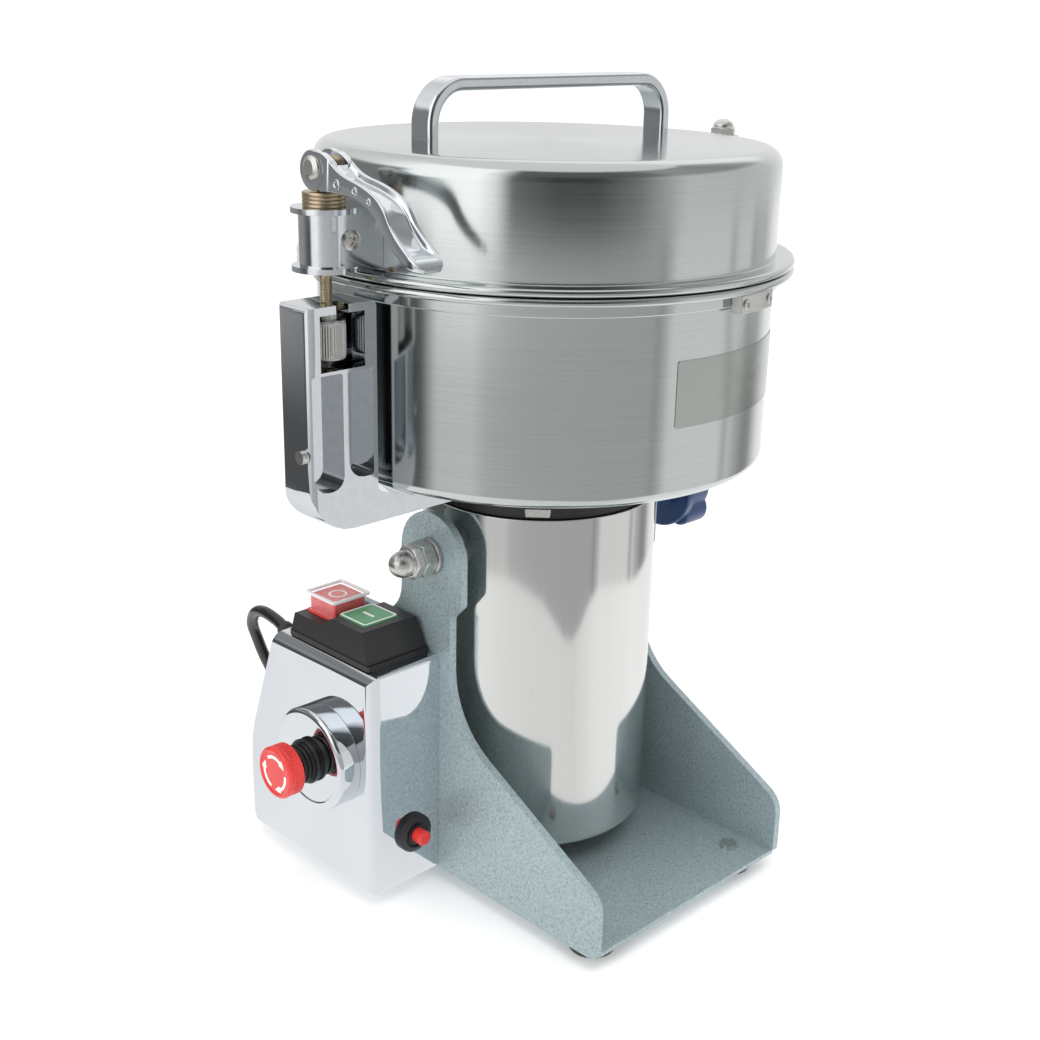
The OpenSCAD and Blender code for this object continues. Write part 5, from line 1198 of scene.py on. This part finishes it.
class GRINDER_OT_arms(bpy.types.Operator):
    """Cast arms under the bowl, their screws, the hinge post, its spring and its cap"""

    bl_idname = "grinder.arms"
    bl_label = "Arms and hinge"

    def execute(self, context):
        for node in ("clamp_arm", "hinge_arm"):
            eased(node, "cast_chrome", 1.1, shortest=1.6, segments=3)
        heads = [screw_head((side * 164.5, -7.5, 270.0), side * X, 3.2, 3.4, 0.2) for side in (-1, 1)]
        heads += [screw_head((x, y, 239.0), Z, 4.2, 3.0, y) for x in (-55, 55) for y in (-6.5, 6.5)]
        piece("arm_screw_heads", heads, "zinc", body="head")
        dress("zinc", "arm_screws")
        eased("hinge_post", "zinc", 0.5)
        turn = np.linspace(0, TAU * 5, 241)
        aside = np.stack([np.cos(turn), np.sin(turn), np.zeros(241)], 1)
        path = ARM_X * X + 6.9 * aside + (384.9 + 15 * turn / turn[-1])[:, None] * Z
        wire = carried(1.1 * circle(12), path, aside, np.cross(travel(path), aside))
        piece("spring_wire", [wire], "zinc", ("hinge_spring",), sharp=60)
        washer = rounded([(5.1, 0), (9, 0, 0.4), (9, 2, 0.4), (5.1, 2)], 3)
        cap = joined(96, [(0, 6.5), (5.1, 6.5), (5.1, 2)], hex_rows(13.0, 2.0, 6.5, 96),
                     dome(6.0, 6.6, 4.4))
        at = (ARM_X, 0, PIN_Z)
        piece("hinge_cap_nut", [turned(washer, 64, Z, at), turned(cap, 96, Z, at, ring=False)], "zinc",
              ("hinge_cap",), sharp=30)
        return {"FINISHED"}


class GRINDER_OT_lid(bpy.types.Operator):
    """Lid with its bead and gasket, the strap handle and the two brackets"""

    bl_idname = "grinder.lid"
    bl_label = "Lid"

    def execute(self, context):
        shell = rounded([(0, 405), (118.3, 405, 7), (118.3, 348.7, 0.2), (BEAD_R, 348.7, 1.95),
                         (BEAD_R, 352.7, 1.95), (120.3, 352.7, 0.6), (120.3, 407, 9), (0, 407)], 12)
        top = np.stack([np.linspace(106, 0, 14), np.full(14, 407.0)], 1)
        piece("lid_shell", [turned(np.concatenate([shell[:-1], top]), 320, ring=False)],
              "brushed_steel", ("lid",), sharp=40)
        dress("silicone", "lid_gasket")
        self.handle()
        for node in ("clamp_lug", "hinge_lug"):
            eased(node, "cast_chrome", 0.7, shortest=1.2)
        heads = [screw_head((x, -12.0, 369.0), -Y, 4.7, 2.0, 0.5) for x in (-138.8, 138.8)]
        piece("bracket_screws", heads, "zinc", ("lug_screws",))
        return {"FINISHED"}

    def handle(self):
        """Strap handle: a flat section with round edges, carried up one leg, over and down."""
        half, low, top, bend = 84.0, 407.0, 435.75, 18.75
        line = rounded([(-half, low), (-half, top, bend), (half, top, bend), (half, low)], 18)
        legs = [np.linspace(line[a], line[b], 6) for a, b in ((0, 1), (38, 39))]
        over = np.linspace(line[19], line[20], 18)[1:-1]
        flat = np.concatenate([legs[0][:-1], line[1:20], over, line[20:39], legs[1][1:]])
        path = flat[:, :1] * X + flat[:, 1:] * Z
        section = dense(box(-7.5, -3.25, 7.5, 3.25, 2.2, 8), 1.5)
        piece("strap_handle", [carried(section, path, Y, np.cross(Y, travel(path)))], "cast_chrome",
              ("handle",), sharp=50)


class GRINDER_OT_clamp(bpy.types.Operator):
    """Clamp: cam lever, pin, washers, threaded rod and barrel nut"""

    bl_idname = "grinder.clamp"
    bl_label = "Clamp"

    PIN = np.array([-ARM_X, 0, PIN_Z])
    ROD = (-ARM_X, 0, 0)

    def execute(self, context):
        details = context.scene.grinder_details
        self.lever()
        head = rounded([(0, 0), (5.4, 0), (5.4, 0.9, 0.3), (4.6, 1.5, 0.8), (3.4, 2.2, 1.2),
                        (0, 2.2)], 5)
        shells = [turned(head, 64, side * X, self.PIN + side * 6.3 * X, ring=False) for side in (-1, 1)]
        shaft = [(0, -6.5), (2.5, -6.5), (2.5, 6.5), (0, 6.5)]
        shells.append(turned(shaft, 48, X, self.PIN, ring=False))
        piece("lever_pin_headed", shells, "zinc", ("lever_pin",))
        washers = []
        for low, high in ((383.5, 386.85), (386.9, 390.3)):
            mid = (low + high) / 2
            section = rounded([(3.06, low), (10, low, 0.5), (10, mid - 0.25, 0.3), (9.5, mid),
                               (10, mid + 0.25, 0.3), (10, high, 0.5), (3.06, high)], 4)
            washers.append(turned(section, 72, Z, self.ROD))
        piece("clamp_washers", washers, "brass", ("lug_washers",))
        self.rod(details.thread_pitch / MM)
        self.nut(details.nut_ribs)
        return {"FINISHED"}

    def lever(self):
        """Cam lever: at each step along two smooth side lines, top and under, a U section of that width
        and height with a rail at each edge, closed to a round tip, then two cheeks and cam discs round
        the pin, and three studs. Lines and studs are (y, z) from the pin."""
        top = corner_cut([(-2.5, 7.2), (-9, 6.6), (-20, -1.5), (-37, -4.6), (-50.5, -10.5),
                          (-57.5, -22), (-69, -31), (-76.4, -35.6)])
        under = corner_cut([(-2, -9.4), (-13, -9.8), (-30, -10.8), (-45.6, -16.4), (-52.8, -26.6),
                            (-64, -34.6), (-73.6, -39.0)])
        share = np.linspace(0, 1, 90)
        top, under = at_shares(top, share), at_shares(under, share)
        start = int(np.argmax(top[:, 0] < -12.6))
        end = np.clip((share - 0.90) / 0.10, 0, 1)
        half = self.half_width(top[:, 0]) * np.sqrt(np.clip(1 - (end * 0.86) ** 2, 0, 1))
        middle, thin = (top + under) / 2, np.sqrt(np.clip(1 - (end * 0.93) ** 2, 0, 1))[:, None]
        top, under = middle + (top - middle) * thin, middle + (under - middle) * thin
        depth = 2.9 * np.clip((share - 0.10) / 0.12, 0.75, 1) * np.clip((0.93 - share) / 0.10, 0, 1)
        a, b = rounded([(-7.5, 0, 1.2), (7.5, 0, 1.2), (7.5, 6, 0.8), (5.6, 6, 0.7), (4.7, 3, 0.9),
                        (-4.7, 3, 0.9), (-5.6, 6, 0.7), (-7.5, 6, 0.8)], 4).T
        low, outer = b < 1.5, np.abs(a) > 7.4
        rows = []
        for k in range(start, len(share)):
            across = np.sign(a) * np.clip(half[k] - 7.5 + np.abs(a), 0, None)
            drop = np.where(outer, 6 - b, np.minimum(6 - b, 3) / 3 * depth[k])
            edge = np.linalg.norm(top[k] - under[k])
            rows.append(self.row(across, under[k], top[k], np.where(low, b / edge, 1 - drop / edge)))
        shells = [(capped(np.stack(rows)), False, True)]
        disc = rounded([(2.6, 3.15, 0.2), (9.2, 3.15, 0.4), (9.2, 6.65, 1.0), (2.6, 6.65, 0.3)], 5)
        for side in (-1, 1):
            widths = [6.6 if k < start else 5.9 for k in range(start + 3)]
            cheek = [self.row(side * np.array([3.1, wide, wide, 3.1]), under[k], top[k],
                              np.array([0, 0, 1, 1])) for k, wide in enumerate(widths)]
            shells.append((capped(np.stack(cheek)), False, True))
            shells.append(turned(disc, 96, side * X, self.PIN - 1.2 * Z))
        stud = rounded([(0, -0.4), (2.3, -0.4), (2.3, 0.25, 0.3), (1.5, 0.55, 0.5), (1.1, 0.1, 0.3),
                        (0, 0)], 4)
        for y, z, size in ((-17.8, -5.8, 2.4), (-31.2, -7.4, 2.0), (-41.5, -10.8, 1.7)):
            at = self.PIN + (-self.half_width(y), y, z)
            shells.append(turned(stud * (size / 2.3, 1), 32, -X, at, ring=False))
        piece("cam_lever_cast", shells, "cast_chrome", ("cam_lever",), sharp=40)

    def half_width(self, y):
        """Half the lever's width, which grows from 6.6 towards its tip."""
        return 6.6 + np.clip((-22 - y) / 54, 0, 1) * 2.4

    def row(self, across, under, top, lift):
        """Points across the lever, at shares lift of the way from its under line to its top line."""
        flat = under + (top - under) * np.clip(lift, 0, 1)[:, None]
        return self.PIN + np.column_stack([across, flat])

    def rod(self, pitch):
        """Threaded rod: radius 3 less a sawtooth of (height / pitch - angle / turn) over the threaded
        part, with an eye round the pin."""
        sides, foot, thread_end, top = 24, 311.0, 352, 396.2
        z = np.concatenate([np.arange(foot + 0.1, thread_end, pitch / 6), [352.5, 370, 385, top]])
        tooth = np.abs(((z / pitch - angles(sides)[:, None] / TAU) % 1) - 0.5) * 2
        r = 3.0 - 0.42 * tooth * np.clip((thread_end - z) / 1.5, 0, 1)
        eye = rounded([(2.6, -2.9, 0.3), (5, -2.9, 0.5), (5, 2.9, 0.5), (2.6, 2.9, 0.3)], 3)
        section = joined(sides, [(0, foot)], paired(r, z), [(0, top)])
        piece("threaded_rod", [turned(section, sides, Z, self.ROD, ring=False),
                               turned(eye, 48, X, self.PIN)], "brass", ("pull_rod",), sharp=60)

    def nut(self, ribs):
        """Barrel nut: radius 8.9 less 0.35 of a rounded wave of the angle over the knurled part."""
        sides = ribs * 6
        wave = 0.5 - 0.5 * np.cos(angles(sides)[:, None] * ribs)
        line = rounded([(3.06, 313), (8.9, 313, 0.9), (8.9, 332, 0.9), (5.0, 332, 0.2),
                        (5.0, 335.7, 0.4), (3.06, 335.7)], 5)
        wall = np.stack([np.full(16, 8.9), np.linspace(314, 331, 16)], 1)
        r, z = np.concatenate([line[:7], wall, line[7:]]).T
        knurl = np.clip((z - 314.6) / 0.5, 0, 1) * np.clip((330.4 - z) / 0.5, 0, 1) * (r > 8.5)
        piece("barrel_nut", [turned(paired(r - 0.35 * wave * knurl, z), sides, Z, self.ROD)], "zinc",
              ("clamp_nut",), sharp=40)


class GRINDER_PT_panel(bpy.types.Panel):
    """Sizes, colours and the steps that make the grinder's surfaces"""

    bl_idname = "GRINDER_PT_panel"
    bl_label = "Spice grinder"
    bl_space_type = "VIEW_3D"
    bl_region_type = "UI"
    bl_category = "Spice grinder"

    def draw(self, context):
        for group, name in GROUPS.items():
            rows = self.layout.box()
            for prop in group.__annotations__:
                rows.prop(getattr(context.scene, name), prop)
        for step in STEPS:
            self.layout.operator(step.bl_idname)


STEPS = (
    GRINDER_OT_stage, GRINDER_OT_cord, GRINDER_OT_base, GRINDER_OT_control_box, GRINDER_OT_switch,
    GRINDER_OT_emergency_stop, GRINDER_OT_reset, GRINDER_OT_motor, GRINDER_OT_pivots, GRINDER_OT_bowl,
    GRINDER_OT_arms, GRINDER_OT_lid, GRINDER_OT_clamp,
)


def register():
    for made in (*GROUPS, *STEPS, GRINDER_PT_panel):
        bpy.utils.register_class(made)
    for group, name in GROUPS.items():
        setattr(bpy.types.Scene, name, bpy.props.PointerProperty(type=group))


def unregister():
    for name in GROUPS.values():
        delattr(bpy.types.Scene, name)
    for made in (GRINDER_PT_panel, *reversed(STEPS), *reversed(tuple(GROUPS))):
        bpy.utils.unregister_class(made)


def main():
    """Registers the add-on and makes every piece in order."""
    register()
    for step in STEPS:
        group, name = step.bl_idname.split(".")
        result = getattr(getattr(bpy.ops, group), name)()
        if result != {"FINISHED"}:
            raise RuntimeError(f"{step.bl_label} didn't finish")


if __name__ == "__main__":
    main()
